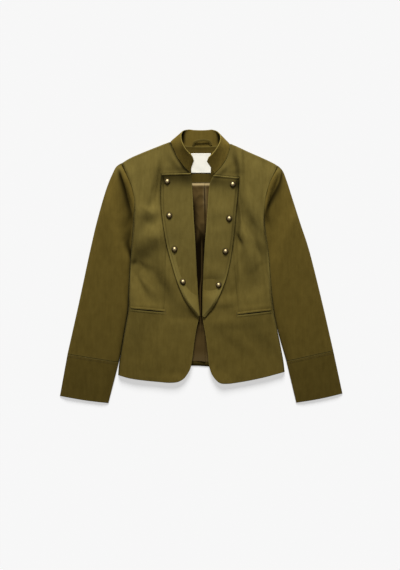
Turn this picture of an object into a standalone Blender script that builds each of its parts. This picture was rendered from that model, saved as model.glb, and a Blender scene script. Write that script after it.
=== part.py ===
"""A short, fitted military jacket with a stand collar, lying open on its back on a table.

The table is z = 0, +Y runs from the hem to the collar and +X to the wearer's left.
Tables and sizes are in millimetres; meshes are written in metres.
"""
import math

import bpy
import numpy as np
from mathutils import Vector

MM = 0.001

# Cloth and gaps
BACK_WALL = 1.6
FRONT_WALL = 2.0
PLASTRON_WALL = 2.0
SLEEVE_WALL = 1.8
COLLAR_WALL = 2.2
LINING_WALL = 1.0
FACING_WALL = 1.2
LABEL_WALL = 1.0
WELT_WALL = 1.5
LOOP_WALL = 1.4
LAYER_GAP = 0.3        # between layers that lie flat on each other
SEAM_GAP = 0.8         # between cut edges that meet at a seam
PLASTRON_LIFT = 1.0    # the plastron's edge is not pressed flat onto the front
WELT_LIFT = 0.7        # nor are the pocket's welts
STEEPEST = 1.9         # the most a sloping wall grows in height to keep its thickness

# The lowest underside of a layer that rests on the back or on an under sleeve
REST_Z = BACK_WALL + LAYER_GAP

# How wide the cloth rolls over at its edges
SIDE_ROLL = 15.0
SHOULDER_ROLL = 26.0
SLEEVE_OUTER_ROLL = 20.0
SLEEVE_INNER_ROLL = 34.0
FOLD_FADE = 24.0       # folds die out this near a seam

# Trim
BUTTON_RADIUS = 7.0
BUTTON_HEIGHT = 6.4
WELT_WIDTH = 5.2
WELT_SLIT = 2.4
LABEL_WIDTH = 49.0
LABEL_HEIGHT = 49.0
LABEL_CENTRE = (-0.5, 257.5)
LOOP_WIDTH = 6.5
HEM_TURN_UP = 10.0
LINING_PLEAT = (1.0, 1.6, 6.0)          # x, rise and half width of the centre back pleat

# Grid counts
FRONT_ROWS = {"neckline": 6, "chest": 28, "skirt": 9}
FRONT_COLUMNS = 18
PLASTRON_ROWS = 26
PLASTRON_COLUMNS = 8
SLEEVE_ROWS = 27
SLEEVE_COLUMNS = 11
CUFF_RINGS = 6
CUFF_COLUMNS = 13
COLLAR_STATIONS = 64
COLLAR_ROWS = 5
BUTTON_STEPS = 14

# Cutting lines of each half, read across the laid-out jacket: x, y
OUTLINES = {
    "right": {
        "shoulder": [(-198, 255), (-180, 269), (-145, 285), (-108, 299), (-77, 310)],
        "armhole": [(-198, 255), (-186, 230), (-172, 195), (-167, 173), (-166, 146), (-169, 120)],
        "side": [(-169, 120), (-171, 86), (-177, 8), (-182, -72), (-182, -107), (-192.5, -175), (-206.5, -271)],
        "hem": [(-206.5, -271), (-181, -281), (-150, -286), (-103, -290), (-78, -291), (-58, -288),
                (-44, -279), (-35, -267)],
        "neckline": [(-77, 310), (-68, 288), (-58, 268), (-44, 250), (-26, 232)],
        "front_edge": [(-26, 232), (-23, 206), (-18, 117), (-13, 53), (-7, -61), (-3, -124)],
        "cutaway": [(-3, -124), (-9, -144), (-16, -183), (-22, -229), (-28, -254), (-35, -267)],
        "plastron": [(-99, 230), (-100, 191), (-99, 141), (-94, 101), (-86, 51), (-75, 8), (-61, -36),
                     (-37, -87), (-9, -124)],
        "sleeve": [(-202, 255), (-217, 241), (-230, 211), (-245, 166), (-262, 106), (-276, 46), (-305, -89),
                   (-334, -219)],
        "forearm": [(-187, -134), (-194.5, -178), (-202, -219), (-206.3, -240)],
        "cuff_hem": [(-353, -324), (-290, -335), (-230, -342)],
        "pocket": [(-176, -108), (-89, -116)],
        "buttons": [(-85, 213), (-80, 128), (-67, 44), (-46, -37)],
    },
    "left": {
        "shoulder": [(189, 250), (182, 255), (152, 270), (120, 285), (87, 300), (73, 306)],
        "armhole": [(189, 250), (178, 225), (168, 202), (161, 177), (158, 156), (157, 131)],
        "side": [(157, 131), (159, 101), (168, 31), (174, -44), (181, -112), (195, -184), (207, -263)],
        "hem": [(207, -263), (159, -276), (118, -285), (91, -290), (66, -292), (50, -289), (38, -280),
                (29, -268)],
        "neckline": [(73, 306), (71, 290), (64, 270), (50, 248), (31, 227)],
        "front_edge": [(31, 227), (22, 208), (19, 191), (14, 117), (7, 36), (3, -62), (2, -125)],
        "cutaway": [(2, -125), (6, -147), (11, -175), (16, -213), (21, -249), (29, -268)],
        "plastron": [(94, 221), (91, 178), (87, 141), (84, 97), (78, 41), (67, -17), (53, -58), (34, -96),
                     (8, -126)],
        "sleeve": [(192, 248), (200, 239), (208, 225), (228, 166), (248, 106), (268, 46), (302, -89), (330, -211)],
        "forearm": [(189.5, -147), (195, -172), (202, -199), (215, -237)],
        "cuff_hem": [(353, -318), (297, -331), (238, -341)],
        "pocket": [(90, -123), (175, -113)],
        "buttons": [(79, 205), (70, 120), (61, 38), (43, -46)],
    },
}
BACK_NECK = [(-77, 310), (-40, 300), (-2, 297), (37, 299), (73, 306)]
BACK_HEM = [(-206.5, -271), (-128, -258), (-24, -246), (21, -248), (122, -257), (207, -263)]
FACING = [(-62, 302), (-60, 268), (-54, 209), (54, 209), (60, 268), (62, 301)]
LINING_TOP_HALF = 112.0
LOOP_PATH = [(-20, 301, 3.7), (-16, 310, 4.1), (2, 315, 4.9), (20, 312, 4.1), (25, 302, 3.7)]

# Height of each front's underside: y, crown of the panel, its free edge at the centre
FRONT_HEIGHTS = [
    (310, 12.5, 7.5),
    (235, 15.5, 7.5),
    (120, 16.0, 7.5),
    (10, 13.5, 7.5),
    (-115, 11.0, 7.5),
    (-200, 11.5, 9.5),
    (-292, 12.0, 12.0),
]
# Height of the underside along the armhole and side seam: y, height
SEAM_HEIGHTS = [(256, 2.0), (235, 6.0), (205, 10.0), (170, 10.5), (140, 8.0), (112, 3.2), (95, REST_Z), (-345, REST_Z)]
# Height of the top sleeve's underside along its middle: y, height
SLEEVE_HEIGHTS = [(256, 9.0), (190, 12.5), (60, 9.5), (-90, 8.6), (-240, 8.6), (-345, 9.0)]

# Soft folds: x and y of both ends, rise of the ridge (a trough is negative), half width
FRONT_FOLDS = {
    "right": [
        (-108, 226, -129, 141, -2.6, 11),
        (-143, 138, -108, 131, 2.2, 10),
        (-140, 104, -108, 101, -1.8, 10),
        (-140, 75, -108, 72, 2.0, 10),
        (-168, 10, -125, 22, -3.2, 15),
        (-158, -2, -104, -77, 2.0, 10),
        (-132, 0, -94, -58, -1.8, 10),
    ],
    "left": [
        (104, 222, 133, 138, 2.4, 10),
        (98, 196, 120, 130, -1.6, 9),
        (112, 121, 152, 26, -2.4, 12),
        (100, 100, 136, 22, 1.6, 10),
        (90, 79, 107, 52, -1.8, 7),
        (160, 3, 112, -27, -2.6, 11),
        (160, -40, 140, -95, 1.2, 16),
    ],
}
SLEEVE_FOLDS = {
    "right": [(-205, 240, -176, 140, -5.2, 9), (-236, 190, -246, 40, 1.6, 14), (-192, 110, -186, 30, -2.2, 12)],
    "left": [(198, 236, 170, 152, -5.2, 9), (228, 130, 262, -20, 1.2, 16), (172, 110, 184, 20, -2.2, 12)],
}

# The collar band from front end to centre back: seam x, y, z and upper rim x, y, z
COLLAR_RIGHT = [
    (-28, 237.5, 9.0, -18, 262, 25.0),
    (-36, 244, 9.5, -22, 273, 31.0),
    (-46, 256, 9.8, -29, 281, 33.5),
    (-56.6, 270.2, 9.8, -38, 291, 34.0),
    (-64.4, 285.4, 9.4, -45, 303, 32.0),
    (-70.2, 298.6, 8.8, -49, 316, 27.0),
    (-74, 309, 8.0, -50, 329, 20.5),
    (-76.5, 313.5, 5.4, -47, 338.5, 11.5),
    (-73, 314, 2.6, -40, 341.5, 4.6),
    (-64, 308.6, 1.3, -31, 341.8, 2.0),
    (-38, 301.2, 1.3, -18, 340.6, 1.6),
]
COLLAR_BACK = [(-2, 298.2, 1.3, 0, 340, 1.4)]
COLLAR_LEFT = [
    (34, 300.2, 1.3, 16, 340.6, 1.6),
    (60, 305.5, 1.3, 28, 341.4, 2.0),
    (69, 310, 2.6, 38, 340, 4.6),
    (72.5, 309.5, 5.4, 45, 336, 11.5),
    (71, 305, 8.0, 48.5, 328, 20.5),
    (69.8, 295.8, 8.8, 47.5, 316, 27.0),
    (67.1, 283.4, 9.4, 43.5, 303, 32.0),
    (60.5, 268, 9.8, 36.5, 291, 34.0),
    (50.3, 252.1, 9.8, 27, 279, 33.5),
    (40.3, 239.8, 9.5, 18, 270, 31.0),
    (33, 233, 9.0, 14, 260, 25.0),
]

# Colours as seen, 0 to 255
OLIVE = (101, 88, 42)
OLIVE_INSIDE = (84, 73, 32)
LINING_BROWN = (84, 68, 44)
LABEL_WHITE = (240, 237, 225)
ANTIQUE_BRASS = (150, 128, 92)


def clear_scene():
    for old in list(bpy.data.objects):
        bpy.data.objects.remove(old, do_unlink=True)


def linear(colour):
    """An 8-bit screen colour as the linear values a shader takes."""
    return tuple((c / 255) ** 2.2 for c in colour)


def material(name, colour, roughness, metallic=0.0):
    made = bpy.data.materials.new(name)
    made.use_nodes = True
    shader = made.node_tree.nodes["Principled BSDF"]
    shader.inputs["Base Color"].default_value = (*linear(colour), 1.0)
    shader.inputs["Roughness"].default_value = roughness
    shader.inputs["Metallic"].default_value = metallic
    return made


def smooth_curve(points, fractions):
    """Points at these fractions of the length of a smooth curve through the given points."""
    knots = np.array(points, float)
    reach = np.concatenate([[0], np.cumsum(np.linalg.norm(np.diff(knots, axis=0), axis=1) ** 0.5)])
    slope = np.gradient(knots, reach, axis=0)
    dense = []
    for i in range(len(knots) - 1):
        t = np.linspace(0, 1, 24, endpoint=False)[:, None]
        span = reach[i + 1] - reach[i]
        dense.append((2 * t**3 - 3 * t**2 + 1) * knots[i] + (t**3 - 2 * t**2 + t) * span * slope[i]
                     + (3 * t**2 - 2 * t**3) * knots[i + 1] + (t**3 - t**2) * span * slope[i + 1])
    dense = np.concatenate([*dense, knots[-1:]])
    length = np.concatenate([[0], np.cumsum(np.linalg.norm(np.diff(dense, axis=0), axis=1))])
    at = np.asarray(fractions) * length[-1]
    return np.stack([np.interp(at, length, dense[:, k]) for k in range(dense.shape[1])], axis=1)


def even(count):
    return np.linspace(0, 1, count)


def pinched(count, ends=0.5):
    """Fractions from 0 to 1 that crowd towards both ends."""
    t = even(count)
    return (1 - ends) * t + ends * (1 - np.cos(math.pi * t)) / 2


def chain(*curves):
    """Curves joined end to end, without repeating the points where they meet."""
    return np.concatenate([curves[0], *[c[1:] for c in curves[1:]]])


def offset_curve(line, distance):
    """A flat curve moved to its left by a distance."""
    ahead = np.gradient(line, axis=0)
    ahead /= np.linalg.norm(ahead, axis=1)[:, None]
    return line + distance * np.stack([-ahead[:, 1], ahead[:, 0]], axis=1)


def distance_to(line, xy):
    """How far each point is from a flat curve."""
    flat = xy.reshape(-1, 1, 2)
    start, step = line[:-1], np.diff(line, axis=0)
    along = ((flat - start) * step).sum(2) / np.maximum((step * step).sum(1), 1e-9)
    foot = start + np.clip(along, 0, 1)[..., None] * step
    return np.linalg.norm(flat - foot, axis=2).min(1).reshape(xy.shape[:-1])


def rolled(distance, width):
    """0 at an edge, rising over the width of a rolled edge to 1."""
    return np.sin(np.clip(distance / width, 0, 1) * math.pi / 2)


def eased(value, low, high):
    t = np.clip((value - low) / (high - low), 0, 1)
    return t * t * (3 - 2 * t)


def table_at(y, rows, column):
    """A column of a table of heights, read smoothly at y. The table's first column is y, falling."""
    table = np.array(rows[::-1], float)
    knots, values = table[:, 0], table[:, column]
    slope = np.gradient(values, knots)
    y = np.clip(y, knots[0], knots[-1])
    i = np.clip(np.searchsorted(knots, y) - 1, 0, len(knots) - 2)
    span = knots[i + 1] - knots[i]
    t = (y - knots[i]) / span
    return ((2 * t**3 - 3 * t**2 + 1) * values[i] + (t**3 - 2 * t**2 + t) * span * slope[i]
            + (3 * t**2 - 2 * t**3) * values[i + 1] + (t**3 - t**2) * span * slope[i + 1])


def folds_at(xy, folds):
    """Height that soft ridges and troughs add."""
    total = np.zeros(xy.shape[:-1])
    for x0, y0, x1, y1, rise, width in folds:
        away = distance_to(np.array([(x0, y0), (x1, y1)], float), xy)
        total += rise * np.exp(-(away / width) ** 2)
    return total


def edge_lines(side):
    """The seam and edge curves of one half of the body."""
    cut = OUTLINES[side]
    lines = {name: smooth_curve(cut[name], even(40)) for name in cut if name not in ("pocket", "buttons")}
    lines["flank"] = chain(lines["armhole"], lines["side"])
    lines["centre"] = chain(lines["neckline"], lines["front_edge"], lines["cutaway"])
    return lines


LINES = {side: edge_lines(side) for side in OUTLINES}


def front_under(side, xy):
    """Height of a front's underside above the table."""
    lines = LINES[side]
    y = xy[..., 1]
    to_flank = distance_to(lines["flank"], xy)
    to_centre = distance_to(lines["centre"], xy)
    crown = table_at(y, FRONT_HEIGHTS, 1)
    centre = table_at(y, FRONT_HEIGHTS, 2)
    seam = np.maximum(table_at(y, SEAM_HEIGHTS, 1), REST_Z)
    share = to_flank / (to_flank + to_centre + 1e-6)
    height = seam + (crown - seam) * rolled(to_flank, SIDE_ROLL)
    height = height + (centre - crown) * eased(share, 0.3, 1.0)
    height = height + folds_at(xy, FRONT_FOLDS[side]) * rolled(to_flank, FOLD_FADE) * rolled(to_centre, FOLD_FADE)
    height = REST_Z + (height - REST_Z) * rolled(distance_to(lines["shoulder"], xy), SHOULDER_ROLL)
    return np.maximum(height, REST_Z)


def sleeve_inner_line(side):
    """The sleeve's edge along the armhole and body, then its own free edge to the cuff."""
    outward = 1 if side == "left" else -1
    lines = LINES[side]
    hidden = lines["flank"][lines["flank"][:, 1] > OUTLINES[side]["forearm"][0][1] + 8]
    beside_body = offset_curve(hidden, outward * SEAM_GAP)
    return smooth_curve([*beside_body[::4], *lines["forearm"][7::8]], even(80))


INNER_LINES = {side: sleeve_inner_line(side) for side in OUTLINES}


def cuff_lines(side):
    """The cuff's outer and inner edges, from the cuff seam to the hem of the cuff."""
    cut = OUTLINES[side]
    outer = np.array([cut["sleeve"][-1], cut["cuff_hem"][0]], float)
    inner = np.array([cut["forearm"][-1], cut["cuff_hem"][-1]], float)
    return outer, inner


def sleeve_under(side, xy):
    """Height of a top sleeve's or cuff's underside above the table."""
    y = xy[..., 1]
    outer_cuff, inner_cuff = cuff_lines(side)
    to_outer = distance_to(chain(LINES[side]["sleeve"], outer_cuff), xy)
    to_inner = distance_to(chain(INNER_LINES[side], inner_cuff), xy)
    seam = np.maximum(table_at(y, SEAM_HEIGHTS, 1) - 1.0, REST_Z)
    crown = table_at(y, SLEEVE_HEIGHTS, 1)
    height = REST_Z + (crown - REST_Z) * rolled(to_outer, SLEEVE_OUTER_ROLL)
    height = seam + (height - seam) * rolled(to_inner, SLEEVE_INNER_ROLL)
    fade = rolled(to_outer, FOLD_FADE) * rolled(to_inner, FOLD_FADE / 3)
    return np.maximum(height + folds_at(xy, SLEEVE_FOLDS[side]) * fade, REST_Z)


def steepness(height, xy):
    """How much taller than its thickness a sloping wall is, at each point."""
    probe = 0.5
    right = height(xy + (probe, 0)) - height(xy - (probe, 0))
    up = height(xy + (0, probe)) - height(xy - (0, probe))
    return np.minimum(np.sqrt(1 + (right / (2 * probe)) ** 2 + (up / (2 * probe)) ** 2), STEEPEST)


def front_top(side, xy):
    return front_under(side, xy) + FRONT_WALL * steepness(lambda p: front_under(side, p), xy)


def plastron_under(side, xy):
    return front_top(side, xy) + PLASTRON_LIFT


def plastron_top(side, xy):
    return plastron_under(side, xy) + PLASTRON_WALL


def patch(top, bottom, first, last, across, down):
    """A grid that fills four edge curves: rows run from the first edge to the last."""
    u = across[None, :, None]
    v = down[:, None, None]
    corners = ((1 - u) * (1 - v) * top[0] + u * (1 - v) * top[-1]
               + (1 - u) * v * bottom[0] + u * v * bottom[-1])
    return (1 - u) * first[:, None] + u * last[:, None] + (1 - v) * top[None] + v * bottom[None] - corners


def add_object(name, points, faces, look, parent):
    mesh = bpy.data.meshes.new(name)
    mesh.from_pydata([tuple(p * MM) for p in np.asarray(points, float)], [], faces)
    mesh.validate()
    mesh.shade_smooth()
    mesh.set_sharp_from_angle(angle=math.radians(50))
    mesh.materials.append(look)
    made = bpy.data.objects.new(name, mesh)
    made.parent = parent
    bpy.context.scene.collection.objects.link(made)
    return made


def sheet_faces(rows, columns):
    """Faces of a wall whose upper grid comes first and whose lower grid follows."""
    def at(layer, r, c):
        return layer * rows * columns + r * columns + c
    faces = []
    for r in range(rows - 1):
        for c in range(columns - 1):
            faces.append((at(0, r, c), at(0, r + 1, c), at(0, r + 1, c + 1), at(0, r, c + 1)))
            faces.append((at(1, r, c), at(1, r, c + 1), at(1, r + 1, c + 1), at(1, r + 1, c)))
    rim = [(0, c) for c in range(columns)] + [(r, columns - 1) for r in range(1, rows)]
    rim += [(rows - 1, c) for c in range(columns - 2, -1, -1)] + [(r, 0) for r in range(rows - 2, 0, -1)]
    for here, after in zip(rim, rim[1:] + rim[:1]):
        faces.append((at(0, *here), at(0, *after), at(1, *after), at(1, *here)))
    return faces


def facing_up(grid):
    """The same grid with its columns turned round where its faces would point down."""
    across = grid[0, -1] - grid[0, 0]
    down = grid[-1, 0] - grid[0, 0]
    return grid if across[0] * down[1] - across[1] * down[0] < 0 else grid[:, ::-1]


def laid_wall(name, grid, under, top, look, parent):
    """A cloth wall over a flat grid, between two height functions."""
    grid = facing_up(grid)
    rows, columns = grid.shape[:2]
    upper = np.concatenate([grid, top(grid)[..., None]], axis=2).reshape(-1, 3)
    lower = np.concatenate([grid, under(grid)[..., None]], axis=2).reshape(-1, 3)
    return add_object(name, np.concatenate([upper, lower]), sheet_faces(rows, columns), look, parent)


def flat_plate(name, outline, low, high, look, parent):
    """A flat cut piece that fills an outline."""
    line = np.asarray(outline, float)
    turn = np.roll(line, -1, axis=0)
    if (line[:, 0] * turn[:, 1] - line[:, 1] * turn[:, 0]).sum() < 0:
        line = line[::-1]
    count = len(line)
    points = [(*p, high) for p in line] + [(*p, low) for p in line]
    faces = [tuple(range(count)), tuple(range(2 * count - 1, count - 1, -1))]
    for i in range(count):
        after = (i + 1) % count
        faces.append((after, i, count + i, count + after))
    return add_object(name, points, faces, look, parent)


def bent_band(name, spine, wall, look, parent):
    """A band given by a grid of points on its middle surface, thickened both ways."""
    along = np.gradient(spine, axis=0)
    across = np.gradient(spine, axis=1)
    normal = np.cross(along, across)
    normal /= np.linalg.norm(normal, axis=2)[..., None]
    upper = (spine + normal * wall / 2).reshape(-1, 3)
    lower = (spine - normal * wall / 2).reshape(-1, 3)
    return add_object(name, np.concatenate([upper, lower]), sheet_faces(*spine.shape[:2]), look, parent)


def make_back(looks, parent):
    """The back, its lining, neck facing, hem turn-up, label and hanger loop."""
    right, left = LINES["right"], LINES["left"]
    hem = smooth_curve(BACK_HEM, even(26))
    neck = smooth_curve(BACK_NECK, even(14))
    outline = chain(neck, left["shoulder"][::-3], left["flank"][::3], hem[::-1], right["flank"][::-3],
                    right["shoulder"][::3])[:-1]
    flat_plate("back", outline, 0.0, BACK_WALL, looks["cloth"], parent)

    below_neck = smooth_curve([(x, y - 1.5) for x, y in BACK_NECK[1:-1]], even(8))[::-1]
    facing_top = REST_Z + FACING_WALL
    flat_plate("back_neck_facing", np.concatenate([FACING, below_neck]), REST_Z, facing_top,
               looks["facing"], parent)

    half_width, half_height = LABEL_WIDTH / 2, LABEL_HEIGHT / 2
    corners = [(LABEL_CENTRE[0] + sx * half_width, LABEL_CENTRE[1] + sy * half_height)
               for sx, sy in ((-1, -1), (1, -1), (1, 1), (-1, 1))]
    label_low = facing_top + LAYER_GAP
    flat_plate("label", corners, label_low, label_low + LABEL_WALL, looks["label"], parent)

    inner_hem = smooth_curve([(0.75 * x, y + 1.0) for x, y in BACK_HEM], even(20))
    turned = inner_hem + (0, HEM_TURN_UP)
    flat_plate("back_hem_turn_up", np.concatenate([inner_hem, turned[::-1]]), REST_Z, REST_Z + FACING_WALL,
               looks["facing"], parent)
    make_lining(turned + (0, SEAM_GAP), looks, parent)
    make_hanger_loop(looks, parent)


def make_lining(lower_edge, looks, parent):
    """The back lining with its centre pleat, from the neck facing down to the hem turn-up."""
    across = np.sort(np.append(even(17), 0.5 + 0.025 * np.array([-3, -2, -1, 1, 2, 3])))
    low = smooth_curve(lower_edge, across)
    top_y = FACING[2][1] - SEAM_GAP
    high = np.stack([LINING_TOP_HALF * (2 * across - 1), np.full(len(across), top_y)], axis=1)
    rows = np.array([(1 - v) * high + v * low for v in even(7)])
    x, rise, half = LINING_PLEAT

    def under(xy):
        return REST_Z + rise * np.exp(-((xy[..., 0] - x) / half) ** 2)

    laid_wall("back_lining", rows, under, lambda xy: under(xy) + LINING_WALL, looks["lining"], parent)


def make_hanger_loop(looks, parent):
    """A narrow strip bowed over the inside of the collar, its ends sewn into the neck seam."""
    path = smooth_curve(LOOP_PATH, even(17))
    ahead = np.gradient(path, axis=0)
    ahead[:, 2] = 0
    ahead /= np.linalg.norm(ahead, axis=1)[:, None]
    outward = np.stack([-ahead[:, 1], ahead[:, 0], np.zeros(len(path))], axis=1)
    spine = np.stack([path - outward * LOOP_WIDTH / 2, path + outward * LOOP_WIDTH / 2], axis=1)
    bent_band("hanger_loop", spine[:, ::-1], LOOP_WALL, looks["facing"], parent)


def make_collar(looks, parent):
    stations = np.array(COLLAR_RIGHT + COLLAR_BACK + COLLAR_LEFT, float)
    fractions = even(COLLAR_STATIONS)
    table = smooth_curve(stations, fractions)
    seam, rim = table[:, :3], table[:, 3:]
    up = even(COLLAR_ROWS)[None, :, None]
    spine = (1 - up) * seam[:, None] + up * rim[:, None]
    bent_band("collar", spine, COLLAR_WALL, looks["cloth"], parent)


def make_front(side, looks, parent):
    cut = OUTLINES[side]
    across = pinched(FRONT_COLUMNS)
    parts = [("neckline", "neckline"), ("front_edge", "chest"), ("cutaway", "skirt")]
    centre = chain(*[smooth_curve(cut[line], even(FRONT_ROWS[rows] + 1)) for line, rows in parts])
    down = even(len(centre))
    flank = smooth_curve(LINES[side]["flank"], down)
    shoulder = smooth_curve(cut["shoulder"], across)
    hem = smooth_curve(cut["hem"], across)
    grid = patch(shoulder, hem, flank, centre, across, down)
    laid_wall(f"{side}_front", grid, lambda p: front_under(side, p), lambda p: front_top(side, p),
              looks["cloth"], parent)


def make_plastron(side, looks, parent):
    cut = OUTLINES[side]
    across = pinched(PLASTRON_COLUMNS, 0.6)
    down = even(PLASTRON_ROWS)
    outer = smooth_curve(cut["plastron"], down)
    inner = smooth_curve(cut["front_edge"], down)
    top = smooth_curve([outer[0], inner[0]], across)
    bottom = smooth_curve([outer[-1], inner[-1]], across)
    grid = patch(top, bottom, outer, inner, across, down)
    laid_wall(f"{side}_plastron", grid, lambda p: plastron_under(side, p), lambda p: plastron_top(side, p),
              looks["cloth"], parent)


def make_pocket(side, looks, parent):
    """Two narrow welts with a slit between them, laid on the front."""
    start, end = np.array(OUTLINES[side]["pocket"], float)
    line = smooth_curve([start, end], even(15))
    for name, sign in (("upper", 1), ("lower", -1)):
        edges = [offset_curve(line, sign * d) for d in (WELT_SLIT / 2, WELT_SLIT / 2 + WELT_WIDTH)]
        grid = np.stack([edges[0], (edges[0] + edges[1]) / 2, edges[1]], axis=1)

        def under(xy):
            return front_top(side, xy) + WELT_LIFT

        laid_wall(f"{side}_pocket_{name}_welt", grid, under, lambda p: under(p) + WELT_WALL, looks["cloth"], parent)


def make_sleeve(side, looks, parent):
    """Top sleeve, under sleeve and cuff."""
    cut = OUTLINES[side]
    down = even(SLEEVE_ROWS)
    across = pinched(SLEEVE_COLUMNS)
    outer = smooth_curve(cut["sleeve"], down)
    inner = smooth_curve(INNER_LINES[side], down)
    top = smooth_curve([outer[0], inner[0]], across)
    seam = smooth_curve([outer[-1], inner[-1]], across)
    grid = patch(top, seam, outer, inner, across, down)

    def under(xy):
        return sleeve_under(side, xy)

    def top_z(xy):
        return under(xy) + SLEEVE_WALL * steepness(under, xy)

    laid_wall(f"{side}_top_sleeve", grid, under, top_z, looks["cloth"], parent)
    outline = np.concatenate([outer, inner[::-1]])
    flat_plate(f"{side}_under_sleeve", outline, 0.0, BACK_WALL, looks["cloth"], parent)
    make_cuff(side, under, top_z, looks, parent)


def make_cuff(side, under, top_z, looks, parent):
    """A flattened tube: rings from the cuff seam to the hem, each with an outer and an inner loop."""
    cut = OUTLINES[side]
    outer_line, inner_line = cuff_lines(side)
    hem = smooth_curve(cut["cuff_hem"], even(CUFF_COLUMNS))
    seam = smooth_curve([outer_line[0], inner_line[0]], even(CUFF_COLUMNS))
    fractions = np.concatenate([[SEAM_GAP / 100], even(CUFF_RINGS)[1:]])
    wall_share = SLEEVE_WALL / np.linalg.norm(hem[-1] - hem[0])
    points, ring = [], 4 * CUFF_COLUMNS
    for v in fractions:
        line = (1 - v) * seam + v * hem
        inset = smooth_curve(line, wall_share + (1 - 2 * wall_share) * even(CUFF_COLUMNS))
        loops = [(line, top_z(line)), (line[::-1], np.zeros(CUFF_COLUMNS)),
                 (inset, under(inset) + 0.2), (inset[::-1], np.full(CUFF_COLUMNS, BACK_WALL))]
        points += [np.concatenate([xy, z[:, None]], axis=1) for xy, z in loops]
    points = np.concatenate(points)
    loop = 2 * CUFF_COLUMNS
    faces = []
    for i in range(loop):
        j = (i + 1) % loop
        for r in range(CUFF_RINGS - 1):
            a, b = r * ring, (r + 1) * ring
            faces.append((a + i, a + j, b + j, b + i))
            faces.append((a + loop + j, a + loop + i, b + loop + i, b + loop + j))
        last = (CUFF_RINGS - 1) * ring
        faces.append((j, i, loop + i, loop + j))
        faces.append((last + i, last + j, last + loop + j, last + loop + i))
    if side == "right":
        faces = [f[::-1] for f in faces]
    add_object(f"{side}_cuff", points, faces, looks["cloth"], parent)


def button_mesh():
    """A domed button on a short shank, turned about its own axis."""
    rim = BUTTON_RADIUS
    profile = [(0.0, BUTTON_HEIGHT), (0.36 * rim, 0.94 * BUTTON_HEIGHT), (0.7 * rim, 0.74 * BUTTON_HEIGHT),
               (0.92 * rim, 0.46 * BUTTON_HEIGHT), (rim, 1.9), (0.94 * rim, 1.3), (0.3 * rim, 1.2),
               (0.3 * rim, 0.0), (0.0, 0.0)]
    points, faces = [(0, 0, BUTTON_HEIGHT)], []
    turns = [2 * math.pi * k / BUTTON_STEPS for k in range(BUTTON_STEPS)]
    for radius, height in profile[1:-1]:
        points += [(radius * math.cos(a), radius * math.sin(a), height) for a in turns]
    points.append((0, 0, 0))
    rings, last = len(profile) - 2, len(points) - 1
    for k in range(BUTTON_STEPS):
        after = (k + 1) % BUTTON_STEPS
        faces.append((0, 1 + k, 1 + after))
        for r in range(rings - 1):
            a, b = 1 + r * BUTTON_STEPS, 1 + (r + 1) * BUTTON_STEPS
            faces.append((a + k, b + k, b + after, a + after))
        foot = 1 + (rings - 1) * BUTTON_STEPS
        faces.append((foot + k, last, foot + after))
    return points, faces


def make_buttons(side, looks, parent):
    points, faces = button_mesh()
    for number, place in enumerate(OUTLINES[side]["buttons"], start=1):
        xy = np.array([place], float)
        probe = 4.0
        rise_x = plastron_top(side, xy + (probe, 0)) - plastron_top(side, xy - (probe, 0))
        rise_y = plastron_top(side, xy + (0, probe)) - plastron_top(side, xy - (0, probe))
        normal = Vector((-rise_x[0], -rise_y[0], 2 * probe)).normalized()
        button = add_object(f"{side}_button_{number}", points, faces, looks["brass"], parent)
        foot = Vector((*place, plastron_top(side, xy)[0])) + normal * LAYER_GAP
        button.location = foot * MM
        button.rotation_mode = "QUATERNION"
        button.rotation_quaternion = Vector((0, 0, 1)).rotation_difference(normal)


def main():
    clear_scene()
    looks = {
        "cloth": material("olive_twill", OLIVE, 0.85),
        "facing": material("olive_facing", OLIVE_INSIDE, 0.85),
        "lining": material("brown_lining", LINING_BROWN, 0.45),
        "label": material("white_label", LABEL_WHITE, 0.6),
        "brass": material("antique_brass", ANTIQUE_BRASS, 0.35, 1.0),
    }
    jacket = bpy.data.objects.new("jacket", None)
    bpy.context.scene.collection.objects.link(jacket)
    make_back(looks, jacket)
    make_collar(looks, jacket)
    for side in OUTLINES:
        make_front(side, looks, jacket)
        make_plastron(side, looks, jacket)
        make_pocket(side, looks, jacket)
        make_sleeve(side, looks, jacket)
        make_buttons(side, looks, jacket)


main()
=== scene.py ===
# %% [markdown]
# # A military jacket, laid open on a table
# The jacket is cloth: panels that were cut flat, sewn together, and here lie on each other. Each panel is
# a thin wall whose height above the table is a small function of x and y, worked out from a few short
# tables. The solids were made from the same tables, so this lesson draws them finer and adds what a
# photograph shows: creases, turned edges, seams, stitches and finishes.

# %% Load the frame
import math

import bmesh
import bpy
import numpy as np
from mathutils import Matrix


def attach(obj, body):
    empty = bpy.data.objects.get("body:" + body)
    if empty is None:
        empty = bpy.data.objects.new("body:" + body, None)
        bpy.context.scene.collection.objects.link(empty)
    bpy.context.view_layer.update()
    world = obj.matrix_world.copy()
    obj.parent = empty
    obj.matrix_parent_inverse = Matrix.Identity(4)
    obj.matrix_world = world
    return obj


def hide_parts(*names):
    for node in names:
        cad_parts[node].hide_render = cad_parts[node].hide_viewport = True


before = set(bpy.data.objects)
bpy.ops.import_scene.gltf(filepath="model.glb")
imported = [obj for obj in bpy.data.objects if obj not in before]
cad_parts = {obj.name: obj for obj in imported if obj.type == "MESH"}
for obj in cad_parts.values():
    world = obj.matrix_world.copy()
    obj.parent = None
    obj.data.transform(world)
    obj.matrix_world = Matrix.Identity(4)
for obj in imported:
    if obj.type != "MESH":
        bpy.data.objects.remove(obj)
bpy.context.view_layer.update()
MM = 0.001
SIDES = {"right": -1, "left": 1}          # the wearer's sides, and the sign of x there

# %% [markdown]
# ## The cutting lines
# A tailor draws each panel as a few smooth lines. Tracing dense outlines would work, but a handful of
# points on a smooth curve is easier to read and to change. All numbers are millimetres on the table, with
# y towards the collar.

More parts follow.
